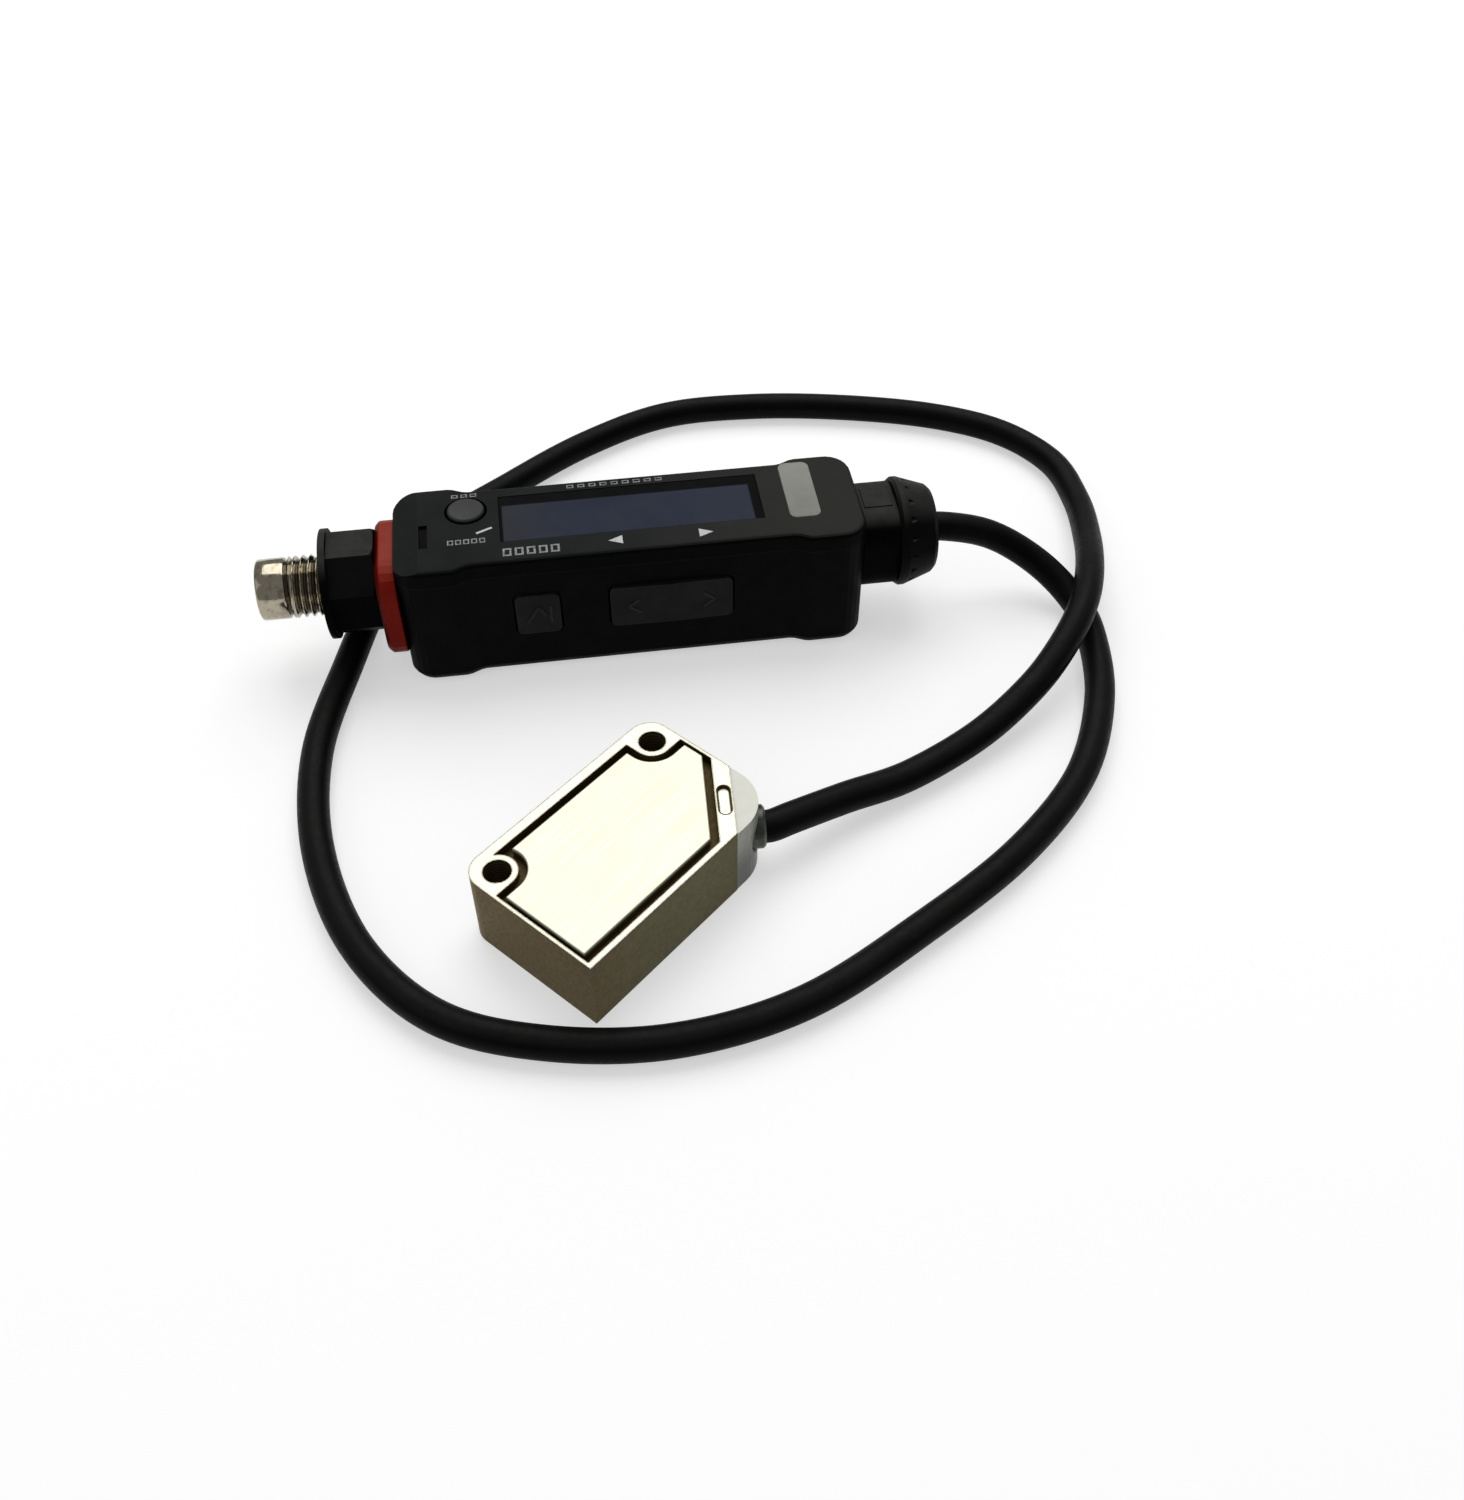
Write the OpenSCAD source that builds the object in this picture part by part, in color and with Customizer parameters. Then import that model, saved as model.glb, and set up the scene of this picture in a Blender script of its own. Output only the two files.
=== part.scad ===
// Digital laser sensor: a small metal sensing head, joined by one cable to an
// in-line amplifier with a display, three buttons and a round plug.
// The origin is midway between the head's two mounting holes, on its underside.
// X runs along the holes, Y points out of the sensing window, Z points up.

/* [Sensor head] */
// Distance between the two mounting holes
hole_pitch = 25.4; // [24:0.1:30]
// Diameter of a mounting hole
hole_d = 3.2; // [2.6:0.1:3.6]
// Distance from a mounting hole to the nearest short end
hole_end = 2.85; // [2.6:0.05:4]
// Distance from the mounting holes to the window face
hole_face = 3.25; // [3:0.05:4]
// Width of the head from its rear face to its window face
head_wid = 20; // [19:0.1:24]
// Thickness of the head
head_thk = 10.3; // [9.5:0.1:14]
// Size of the corner cut off for the cable exit
corner_cut = 7.2; // [6.8:0.1:8]
// Radius of the two corners at the mounting holes
head_corner_r = 2.8; // [1.5:0.1:2.85]
// Width of the rim along the rear face
rim_rear = 0.75; // [0.5:0.05:1.2]
// Width of the rim along the window face
rim_window = 1.3; // [0.8:0.05:2]
// Width of the rim at the two short ends
rim_end = 0.45; // [0.3:0.05:0.8]
// Width of the strip between the cover and the cut corner
rim_cut = 2.1; // [1.8:0.05:2.6]
// Radius of the solid left round each mounting hole
boss_r = 2.35; // [2.2:0.05:2.6]
// Width of the groove round the cover
cover_gap = 1.0; // [0.6:0.05:1.2]
// Width of that groove at the short ends
cover_end_gap = 0.45; // [0.3:0.05:0.9]
// Thickness of the cover plate
cover_thk = 1.2; // [0.8:0.05:1.6]
// Height of the cover plate above the rim
cover_proud = 0.15; // [0:0.05:0.3]
// Width of the ledge that carries the cover plate
cover_ledge = 0.8; // [0.5:0.05:1.2]
// Thickness of the head's floor
head_floor = 1.2; // [0.8:0.1:1.6]
// Length and width of the slot sunk in the strip beside the cover
strip_slot = [4.3, 1.4]; // [0.6:0.1:6]
// Depth of that slot
strip_slot_deep = 0.4; // [0.2:0.05:0.8]

/* [Sensing window and optics] */
// Length of the window pane
pane_len = 17.6; // [14:0.1:18]
// Height of the window pane
pane_high = 7.2; // [6:0.1:7.6]
// Thickness of the window pane
pane_thk = 1.2; // [0.8:0.1:1.6]
// Width of the step that the pane is seated on
pane_step = 0.8; // [0.5:0.05:1.2]
// Length of the block that holds the optics
holder_len = 16; // [15:0.1:16.6]
// Depth of that block
holder_deep = 5.8; // [5:0.1:6.4]
// Distance of the emitter from the head's middle
emitter_x = -4.8; // [-5.2:0.1:-4.4]
// Distance of the receiver from the head's middle
receiver_x = 3.4; // [3:0.1:3.8]
// Radius of the emitter lens
emitter_r = 2.0; // [1.6:0.05:2.2]
// Radius of the receiver lens
receiver_r = 3.1; // [2.6:0.05:3.2]
// Thickness of each lens at its rim
lens_rim = 1.0; // [0.6:0.1:1.4]
// Step behind each lens
lens_step = 0.35; // [0.2:0.05:0.6]
// Distance of each lens's rim behind the block's front
lens_back = 0.25; // [0.2:0.05:0.5]
// Radius of the laser diode's can
diode_r = 1.6; // [1.4:0.05:1.65]
// Thickness of the head's circuit board
head_board_thk = 1.0; // [0.8:0.1:1.2]
// Length of the head's circuit board
head_board_len = 22; // [18:0.1:23]

/* [Head gland and indicator] */
// Radius of the round corner of the indicator
indicator_r = 5.5; // [5:0.1:6.4]
// How far the indicator stays below the head's faces
indicator_inset = 0.15; // [0.1:0.05:0.4]
// Radius of the gland's visible ring
gland_ring_r = 2.6; // [2.4:0.05:2.8]
// Radius of the gland's neck
gland_neck_r = 2.25; // [2.1:0.05:2.3]
// Distance from the cut corner to the gland's ring
gland_ring_at = 1.9; // [1.5:0.05:2.2]
// Length of the gland's visible ring
gland_ring_len = 1.75; // [1.4:0.05:2.4]
// Depth that the cable enters the gland
gland_socket = 1.2; // [0.8:0.1:1.6]

/* [Cable] */
// Diameter of the cable
cable_d = 3.9; // [3.4:0.1:3.9]
// Diameter of the hole for the cable's conductors
core_d = 2.4; // [1.6:0.1:2.8]
// Clearance round the cable in a bore
cable_gap = 0.05; // [0.03:0.01:0.1]

/* [Amplifier case] */
// Length of the case
case_len = 60; // [56:0.5:70]
// Width of the case over its end pads
case_wid = 17; // [16.4:0.1:20]
// Height of the case with its cover
case_high = 18.8; // [18.4:0.1:22]
// Radius of the case's upright corners
case_corner_r = 3.3; // [2.6:0.1:4]
// Rounding of the case's lower edges
case_foot_r = 2.0; // [1:0.1:2.4]
// How far the waist lies inside the end pads
waist_in = 0.9; // [0.4:0.05:1]
// Length of each end pad
pad_len = 9.6; // [8:0.1:11]
// Length of the slope from a pad to the waist
pad_slope = 2.4; // [1:0.1:4]
// Wall thickness of the case
wall = 1.4; // [1.2:0.05:1.6]
// Height of the plug's and the cable's axis above the table
axis_z = 11.6; // [11.4:0.1:12]
// Place of the case's plug end beside the head
case_at = [12.6, 43.7]; // [-100:0.1:100]
// Turn of the case against the head
case_turn = -41.8; // [-90:0.1:90]

/* [Amplifier cover] */
// Thickness of the cover
lid_thk = 2.4; // [2:0.1:3]
// Rounding of the cover's upper edge
lid_edge_r = 0.7; // [0.3:0.05:1]
// Depth that the cover's lip enters the case
lip_deep = 1.1; // [0.6:0.1:1.6]
// Thickness of that lip
lip_thk = 0.8; // [0.6:0.1:1.2]
// Clearance between the lip and the case
lip_gap = 0.05; // [0.02:0.01:0.1]
// Length of the slope at the plug end
slope_len = 3.2; // [2:0.1:4]
// Drop of that slope
slope_drop = 0.9; // [0.3:0.1:1.4]
// Size of the recess behind the slope, along the case and across it
recess_size = [1.1, 4.6]; // [0.6:0.1:6]
// Place of that recess's middle
recess_at = [3.9, -1.3]; // [-4:0.1:4.2]
// Depth of that recess
recess_deep = 0.35; // [0.2:0.05:0.6]
// Size of the display window
glass_size = [33.6, 9.1, 1.0]; // [0.8:0.1:40]
// Place of the display window's middle, from the case's middle
glass_off = [0.4, 0.95]; // [-2:0.05:2]
// How far the display window lies below the cover
glass_inset = 0.05; // [0:0.05:0.2]
// Width of the step that the display window is seated on
glass_step = 0.9; // [0.6:0.05:1.4]
// Size of the lamp window
lamp_size = [4.1, 11.4]; // [3:0.1:12]
// Place of the lamp window's middle, from the cable end of the case
lamp_off = [-7.5, 1.5]; // [-9:0.05:2]
// How far the lamp window stands above the cover
lamp_proud = 0.1; // [0:0.05:0.3]

/* [Buttons] */
// Travel of a button from rest to its stop
button_travel = 0.25; // [0.15:0.05:0.3]
// Gap between a button and the edge of its opening
button_gap = 0.3; // [0.2:0.05:0.4]
// Width of the flange that keeps a button in
button_flange = 0.6; // [0.4:0.05:0.8]
// Thickness of that flange
flange_thk = 0.5; // [0.4:0.05:0.6]
// How far a button stands out at rest
button_proud = 0.35; // [0.3:0.05:0.5]
// Radius of the round button
set_r = 2.45; // [2:0.05:2.8]
// Place of the round button
set_at = [9.4, 3.2]; // [0:0.1:12]
// Size of the square side button along the case and upwards
mode_size = [5.7, 6.3]; // [4:0.1:8]
// Place of the square side button along the case
mode_x = 17.3; // [15:0.1:19]
// Size of the side rocker
rocker_size = [15.8, 6.3]; // [4:0.1:18]
// Place of the side rocker's middle along the case
rocker_x = 34.5; // [32:0.1:37]
// Height of the side buttons' middle
side_z = 9.9; // [9:0.1:10.4]
// Tilt of the rocker to each side
rocker_tilt = 1.6; // [1:0.1:1.8]
// Radius of the rocker's pivot pins
pivot_r = 0.6; // [0.5:0.05:0.7]
// Length of each pivot pin
pivot_len = 1.0; // [0.8:0.1:1.2]
// Clearance of a pivot pin in its ear
pivot_gap = 0.05; // [0.03:0.01:0.1]
// Corner radius of the side buttons
side_corner_r = 0.8; // [0.4:0.05:1.2]

/* [Boards and switches] */
// Thickness of the amplifier's circuit boards
board_thk = 1.0; // [0.8:0.1:1.2]
// Size of a switch's square body
switch_size = 3.0; // [2.5:0.1:3.4]
// Radius of a switch's plunger
plunger_r = 0.7; // [0.5:0.05:0.9]
// Height of a switch's plunger
plunger_high = 0.25; // [0.2:0.05:0.4]
// Distance from the case's inner side wall to the side board
side_board_deep = 2.4; // [2.2:0.05:2.6]
// Height of the side board
side_board_high = 8.6; // [7:0.1:9.4]
// How far the side board reaches past the side buttons
side_board_past = 2.0; // [1:0.1:4]

/* [Marker ring and plug] */
// Width of the marker ring
ring_wid = 14.6; // [14:0.1:15.4]
// Height of the marker ring
ring_high = 14.4; // [14:0.1:15]
// Height of the marker ring's middle
ring_z = 10.2; // [10:0.1:10.6]
// Corner radius of the marker ring
ring_corner_r = 4.0; // [3:0.1:5]
// Thickness of the marker ring
ring_thk = 2.5; // [2:0.1:3]
// Bevel on the marker ring's outer edge
ring_bevel = 0.6; // [0.3:0.1:0.9]
// Distance across the collar's flats
collar_flats = 12.6; // [11.6:0.1:13]
// Length of the collar's flats
collar_len = 5.9; // [5:0.1:8]
// Radius of the collar's round flange
flange_r = 7.1; // [6.8:0.1:7.2]
// Thickness of the collar's round flange
flange_len = 0.9; // [0.6:0.1:1.4]
// Radius of the collar's spigot in the case
spigot_r = 4.6; // [4.4:0.05:4.8]
// Diameter of the plug's thread
plug_d = 8.0; // [7.6:0.1:8]
// Length of the plug's thread
thread_len = 4.4; // [3.6:0.1:5]
// Width of the groove in front of the thread
plug_groove = 0.5; // [0.3:0.1:0.8]
// Length of the plug's smooth nose
nose_len = 3.6; // [3:0.1:4.4]
// Radius of the plug's socket
socket_r = 3.2; // [3:0.05:3.3]
// Depth of the plug's socket
socket_deep = 5.2; // [4:0.1:6]
// Length of the plug's shank in the collar
shank_len = 4.0; // [3:0.1:4.6]
// Number of contact pins
pin_count = 4; // [3:1:5]
// Radius of a contact pin
pin_r = 0.5; // [0.4:0.05:0.5]
// Radius of the circle that the pins stand on
pin_circle_r = 1.75; // [1.6:0.05:2]

/* [Cable gland on the case] */
// Width across the gland body
body_wid = 11.8; // [11:0.1:12]
// Corner radius of the gland body
body_corner_r = 3.9; // [3:0.1:4.4]
// Length of the gland body
body_len = 4.9; // [4:0.1:6]
// Size of the raised pad on the gland body
body_pad = [3.7, 4.0, 0.15]; // [0.1:0.05:4.2]
// Largest radius of the gland nut
nut_r = 7.2; // [6.9:0.1:7.2]
// Radius of the gland nut at its outer end
nut_end_r = 5.8; // [5.6:0.1:6.4]
// Length of the gland nut
nut_len = 5.2; // [5:0.1:7]
// Number of grip grooves round the gland nut
nut_grooves = 18; // [8:1:24]
// Length of the threaded boss inside the nut
boss_len = 2.6; // [2:0.1:3]
// Radius of that boss
boss_thread_r = 4.6; // [4.2:0.05:4.8]
// Wall at the gland nut's outer end
nut_lip = 0.8; // [0.6:0.1:1.2]

/* [Hidden] */
$fn = 48;
// Clearance of a piece in its seat
fit = 0.05;
// Overlap of a cut beyond the face that it cuts
eps = 0.5;
root2 = sqrt(2);

// Head, in its own plan
head_x1 = hole_pitch / 2 + hole_end;
head_x0 = -head_x1;
head_y1 = hole_face;
head_y0 = head_y1 - head_wid;
cut_line = head_x1 - corner_cut - head_y0;
groove_x = head_x1 - rim_end;
groove_y0 = head_y0 + rim_rear;
groove_y1 = head_y1 - rim_window;
groove_line = cut_line - rim_cut * root2;
plate_x = groove_x - cover_end_gap;
plate_y0 = groove_y0 + cover_gap;
plate_y1 = groove_y1 - cover_gap;
plate_line = groove_line - cover_gap * root2;
cavity_y1 = plate_y1 - cover_ledge;
ledge_z = head_thk - cover_thk;
mid_z = head_thk / 2;
cut_mid = [head_x1 - corner_cut / 2, head_y0 + corner_cut / 2];
optics_y = cavity_y1 - holder_deep;
diode_flange = 0.7;
pin_reach = 0.9;
board_y = optics_y - diode_flange - pin_reach;
socket_floor = gland_ring_at + gland_ring_len - gland_socket;

// Amplifier, along its own axis
lid_z = case_high - lid_thk;
side_y = -(case_wid / 2 - waist_in);
side_in_y = side_y + wall;
side_board_y = side_in_y + side_board_deep;
board_z = axis_z - board_thk / 2;
board_top = axis_z + board_thk / 2;
board_y0 = side_board_y + board_thk;
board_y1 = case_wid / 2 - waist_in - wall - 0.2;
glass_at = [case_len / 2 + glass_off[0], glass_off[1]];
lamp_at = [case_len + lamp_off[0], lamp_off[1]];
side_board_x0 = mode_x - mode_size[0] / 2 - side_board_past;
side_board_x1 = rocker_x + rocker_size[0] / 2 + side_board_past;
flange_back = side_in_y + 0.1 + flange_thk;
plunger_tip = flange_back + button_travel + fit;
glass_z = case_high - glass_inset - glass_size[2];
set_flange_z = lid_z - 0.1 - flange_thk;
set_tab = set_r + button_gap + button_flange;
set_switch_high = 1.5;
set_stem_z = board_top + set_switch_high + plunger_high + button_travel + fit;
collar_x = -ring_thk - collar_len;
plug_x = collar_x - flange_len;
thread_x = plug_x - thread_len;
nose_x = thread_x - plug_groove - nose_len;
shank_r = plug_d / 2 - 0.4;
body_x1 = case_len + body_len;
boss_x1 = body_x1 + boss_len;
nut_x1 = body_x1 + nut_len;
core_r = core_d / 2;
cable_r = cable_d / 2;
cable_bore_r = cable_r + cable_gap;

// Route of the cable's middle line: out of the head, over its own lower strand,
// round the back, under the collar, round the front and up into the case's gland
cut_out = [cos(-45), sin(-45)];
table_z = cable_r;
free_route = [
    [18, -17.3, 4.85], [25.3, -19.6, 3.6], [34, -22.9, 2.5], [45, -25.7, 2.8], [55, -26.8, 4.2],
    [62.5, -26.5, 5.9], [70, -24.8, 6.8], [77.5, -21.4, 6.2], [86, -16.2, 4], [94, -9.8, 2.4],
    [99.8, -2, 2], [101.2, 8, table_z], [98, 18.6, table_z], [91, 30.4, table_z], [82, 41.6, table_z],
    [71.4, 50.5, table_z], [58, 54.8, table_z], [43, 56.4, table_z], [28.5, 57, table_z],
    [15.5, 52.9, table_z], [3, 45.3, table_z], [-9.8, 36.2, table_z], [-19.8, 24.2, table_z],
    [-26.1, 10.2, table_z], [-26.9, -3.4, table_z], [-21.8, -14.9, table_z], [-12.5, -25.6, table_z],
    [0.4, -33.3, table_z], [17, -37.3, table_z], [33, -39.6, table_z], [48, -38.7, table_z],
    [61, -33.6, table_z], [70.6, -26.5, 2.05], [74.9, -20.8, 2.5], [75, -14.6, 5.4], [71.4, -9, 9.4]
];
ring_sides = 8;

// Turns a plan drawn in Y and Z into a solid that runs along X
module along_x(x = 0, z = 0) {
    translate([x, 0, z]) rotate([90, 0, 90]) children();
}

// A turned piece on the case's axis, from a profile of [distance along X, radius]
module turned(profile) {
    along_x(0, axis_z) rotate_extrude() polygon([for (p = profile) [p[1], p[0]]]);
}

module at_case() {
    translate([case_at[0], case_at[1], 0]) rotate([0, 0, case_turn]) children();
}

// Puts a piece that runs along Z on the cable's axis at the head's cut corner
module at_cut() {
    translate([cut_mid[0], cut_mid[1], mid_z]) rotate([0, 0, -45]) rotate([0, 90, 0]) children();
}

module tube_x(x0, x1, r) {
    along_x(x0, axis_z) cylinder(h = x1 - x0, r = r);
}

module round_rect(w, h, r) {
    square([w - 2 * r, h], center = true);
    square([w, h - 2 * r], center = true);
    for (x = [-1, 1], y = [-1, 1]) {
        translate([x * (w / 2 - r), y * (h / 2 - r)]) circle(r);
    }
}

// A side button's plan, extruded along Y from y0 to y1
module side_block(x, y0, y1, w, h, r) {
    translate([x, y1, side_z]) rotate([90, 0, 0]) linear_extrude(y1 - y0) round_rect(w, h, r);
}

// A closed skin over rings that have the same number of points
module skin(rings) {
    n = len(rings[0]);
    m = len(rings);
    sides = [for (j = [0:m - 2], i = [0:n - 1]) each [
        [j * n + i, (j + 1) * n + i, (j + 1) * n + (i + 1) % n],
        [j * n + i, (j + 1) * n + (i + 1) % n, j * n + (i + 1) % n]
    ]];
    ends = [[for (i = [0:n - 1]) i], [for (i = [n - 1:-1:0]) (m - 1) * n + i]];
    polyhedron(points = [for (r = rings) each r], faces = concat(ends, sides));
}

function level(points, z) = [for (p = points) [p[0], p[1], z]];
function arc(cx, cy, r, a0, a1, n) = [
    for (i = [0:n]) [cx + r * cos(a0 + (a1 - a0) * i / n), cy + r * sin(a0 + (a1 - a0) * i / n)]
];
function ease(t) = t * t * (3 - 2 * t);

// The case's outline, set in by d from its outer face. The skin that rounds the edges has
// its own corners, a few degrees off the outline's, so that no two corners coincide.
function waist(t) = case_wid / 2 - waist_in * ease(t);
function half_outline(d, off) = let (
    r = case_corner_r,
    y = r - case_wid / 2,
    n = off > 0 ? 7 : 6,
    m = off > 0 ? 4 : 5,
    spread = pad_slope + off / 20
) concat(
    arc(r, y, r - d, 180 - off, 270 + off, n),
    [for (i = [0:m]) [pad_len + off / 40 - spread * (1 - i / m), d - waist(i / m)]],
    [for (i = [m:-1:0]) [case_len - pad_len - off / 40 + spread * (1 - i / m), d - waist(i / m)]],
    arc(case_len - r, y, r - d, 270 - off, 360 + off, n)
);
function case_outline(d, off = 0) = let (h = half_outline(d, off), n = len(h)) concat(
    h, [for (i = [n - 1:-1:0]) [h[i][0], -h[i][1]]]
);

function rect_outline(w, h, r) = concat(
    arc(w / 2 - r, h / 2 - r, r, 0, 90, 6), arc(r - w / 2, h / 2 - r, r, 90, 180, 6),
    arc(r - w / 2, r - h / 2, r, 180, 270, 6), arc(w / 2 - r, r - h / 2, r, 270, 360, 6)
);

// Plans of the head
module head_plan() {
    difference() {
        translate([head_x0, head_y0]) square([head_x1 - head_x0, head_wid]);
        polygon([
            [head_x1 - corner_cut, head_y0], [head_x1 - corner_cut - eps, head_y0 - eps],
            [head_x1 + eps, head_y0 - eps], [head_x1 + eps, head_y0 + corner_cut + eps],
            [head_x1, head_y0 + corner_cut]
        ]);
        for (s = [-1, 1]) {
            translate([s * (head_x1 - head_corner_r), head_y1 - head_corner_r]) difference() {
                translate([s > 0 ? 0 : -head_corner_r - eps, 0]) square(head_corner_r + eps);
                circle(head_corner_r);
            }
        }
    }
}

// A rectangle with one corner cut along the line x - y = line
module cut_plan(x, y0, y1, line) {
    polygon([[-x, y0], [line + y0, y0], [x, x - line], [x, y1], [-x, y1]]);
}

// The solid round the two mounting holes, out to the head's corners
module boss_plan(r) {
    for (s = [-1, 1]) {
        translate([s * hole_pitch / 2, 0]) {
            circle(r);
            translate([s > 0 ? 0 : -2 * r, -r]) square([2 * r, r + head_wid / 2]);
            if (s > 0) {
                translate([-r, 0]) square([2 * r, head_wid / 2]);
            }
        }
    }
}

module plate_plan(inset) {
    difference() {
        cut_plan(plate_x - inset, plate_y0 + inset, plate_y1 - inset, plate_line - inset * root2);
        boss_plan(boss_r + cover_gap + inset);
    }
}

module mount_holes() {
    for (s = [-1, 1]) {
        translate([s * hole_pitch / 2, 0, -eps]) cylinder(h = head_thk + 2 * eps, d = hole_d);
    }
}

module head_case() {
    color([0.62, 0.6, 0.55]) difference() {
        linear_extrude(head_thk) head_plan();
        translate([0, 0, ledge_z]) linear_extrude(cover_thk + eps) difference() {
            cut_plan(groove_x, groove_y0, groove_y1, groove_line);
            boss_plan(boss_r);
        }
        translate([0, 0, head_floor]) linear_extrude(head_thk) plate_plan(cover_ledge);
        mount_holes();
        window_cut(pane_len - 2 * pane_step, pane_high - 2 * pane_step, cavity_y1 - eps);
        window_cut(pane_len + 2 * fit, pane_high + 2 * fit, head_y1 - pane_thk);
        at_cut() translate([0, 0, -corner_cut]) cylinder(h = 2 * corner_cut, r = gland_neck_r + fit);
        strip_slot_cut();
    }
}

module window_cut(w, h, y0) {
    translate([0, head_y1 + eps, mid_z]) rotate([90, 0, 0])
        linear_extrude(head_y1 + eps - y0) square([w, h], center = true);
}

module strip_slot_cut() {
    reach = (strip_slot[0] - strip_slot[1]) / 2;
    translate([cut_mid[0], cut_mid[1], head_thk - strip_slot_deep]) rotate([0, 0, -45])
        translate([-rim_cut / 2, 0, 0]) {
            for (s = [-1, 1]) {
                translate([0, s * reach, 0]) cylinder(h = strip_slot_deep + eps, d = strip_slot[1]);
            }
            translate([-strip_slot[1] / 2, -reach, 0])
                cube([strip_slot[1], 2 * reach, strip_slot_deep + eps]);
        }
}

module head_cover() {
    color([0.93, 0.93, 0.86])
        translate([0, 0, ledge_z]) linear_extrude(cover_thk + cover_proud) plate_plan(0);
}

module front_window() {
    color([0.25, 0.1, 0.12]) translate([0, head_y1, mid_z]) rotate([90, 0, 0])
        linear_extrude(pane_thk) square([pane_len, pane_high], center = true);
}

module lens_seat(x, r) {
    translate([x, cavity_y1 + eps, mid_z]) rotate([90, 0, 0]) {
        cylinder(h = lens_rim + lens_back + eps, r = r + fit);
        cylinder(h = holder_deep + 2 * eps, r = r - lens_step);
    }
}

module optics_holder() {
    color([0.12, 0.12, 0.13]) difference() {
        translate([-holder_len / 2, optics_y, head_floor])
            cube([holder_len, holder_deep, ledge_z - head_floor - fit]);
        lens_seat(emitter_x, emitter_r);
        lens_seat(receiver_x, receiver_r);
    }
}

// A lens with a flat back and a bulged front, turned about its own axis
module lens(x, r, bulge) {
    steps = 8;
    ball = (r * r + bulge * bulge) / (2 * bulge);
    dome = [for (i = [0:steps]) let (q = r * (1 - i / steps)) [q, sqrt(ball * ball - q * q) - ball + bulge]];
    translate([x, cavity_y1 - lens_rim - lens_back, mid_z]) rotate([-90, 0, 0]) rotate_extrude()
        polygon(concat([[0, 0], [r, 0]], [for (p = dome) [p[0], p[1] + lens_rim]]));
}

module emitter_lens() {
    color([0.75, 0.85, 0.9]) lens(emitter_x, emitter_r, 0.5);
}

module receiver_lens() {
    color([0.75, 0.85, 0.9]) lens(receiver_x, receiver_r, 0.7);
}

module laser_diode() {
    flange = diode_r + 0.5;
    color([0.8, 0.7, 0.35]) translate([emitter_x, optics_y, mid_z]) {
        rotate([-90, 0, 0]) cylinder(h = 2.6, r = diode_r);
        rotate([90, 0, 0]) cylinder(h = diode_flange, r = flange);
        for (a = [90:120:330]) {
            translate([0.9 * cos(a), -diode_flange, 0.9 * sin(a)]) rotate([90, 0, 0])
                cylinder(h = pin_reach, r = 0.22);
        }
    }
}

module image_sensor() {
    chip = [5, pin_reach + diode_flange - 0.4, 4.2];
    color([0.1, 0.1, 0.1]) translate([receiver_x - chip[0] / 2, board_y, mid_z - chip[2] / 2]) cube(chip);
}

module head_board() {
    color([0.05, 0.35, 0.18])
        translate([-head_board_len / 2 - 1.4, board_y - head_board_thk, head_floor])
            cube([head_board_len, head_board_thk, ledge_z - head_floor - 0.2]);
}

module indicator_lens() {
    x1 = head_x1;
    y0 = head_y0;
    r = indicator_r;
    outline = concat(
        [[x1 - corner_cut, y0]], arc(x1 - r, y0 + r, r, -90, 0, 12), [[x1, y0 + corner_cut]]
    );
    color([0.85, 0.9, 0.82, 0.8]) difference() {
        translate([0, 0, indicator_inset]) linear_extrude(head_thk - 2 * indicator_inset) polygon(outline);
        at_cut() translate([0, 0, -eps]) cylinder(h = corner_cut, r = gland_neck_r + fit);
        at_cut() translate([0, 0, gland_ring_at]) cylinder(h = corner_cut, r = gland_ring_r + 0.4);
    }
}

module head_gland() {
    tip = gland_ring_at + gland_ring_len;
    tail = -(cover_ledge + cover_gap + rim_cut) - 0.6;
    color([0.2, 0.2, 0.22]) at_cut() rotate_extrude() polygon([
        [core_r, tail], [gland_neck_r, tail], [gland_neck_r, gland_ring_at],
        [gland_ring_r, gland_ring_at], [gland_ring_r, tip - 0.3], [gland_ring_r - 0.3, tip],
        [cable_bore_r, tip], [cable_bore_r, socket_floor], [core_r, socket_floor]
    ]);
}

// The cable: a ring of points set square to a smooth curve through the route
function head_point(d) = [cut_mid[0] + d * cut_out[0], cut_mid[1] + d * cut_out[1], mid_z];
function case_point(x) = [
    case_at[0] + x * cos(case_turn), case_at[1] + x * sin(case_turn), axis_z
];
route = concat(
    [head_point(socket_floor), head_point(gland_ring_at + gland_ring_len + 0.75)],
    free_route,
    [case_point(nut_x1 + 2), case_point(boss_x1)]
);
function curve(a, b, c, d, t) = 0.5 * (
    2 * b + (c - a) * t + (2 * a - 5 * b + 4 * c - d) * t * t + (3 * b - a - 3 * c + d) * t * t * t
);
function route_at(i) = route[max(0, min(len(route) - 1, i))];
function unit(v) = v / norm(v);
function steps_at(i) = i < 1 || i > len(route) - 3 ? [0] : i < 4 || i > len(route) - 9 ? [0, 1/3, 2/3] : [0, 1/2];
cable_line = concat(
    [for (i = [0:len(route) - 2], t = steps_at(i))
        curve(route_at(i - 1), route_at(i), route_at(i + 1), route_at(i + 2), t)],
    [route[len(route) - 1]]
);

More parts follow.
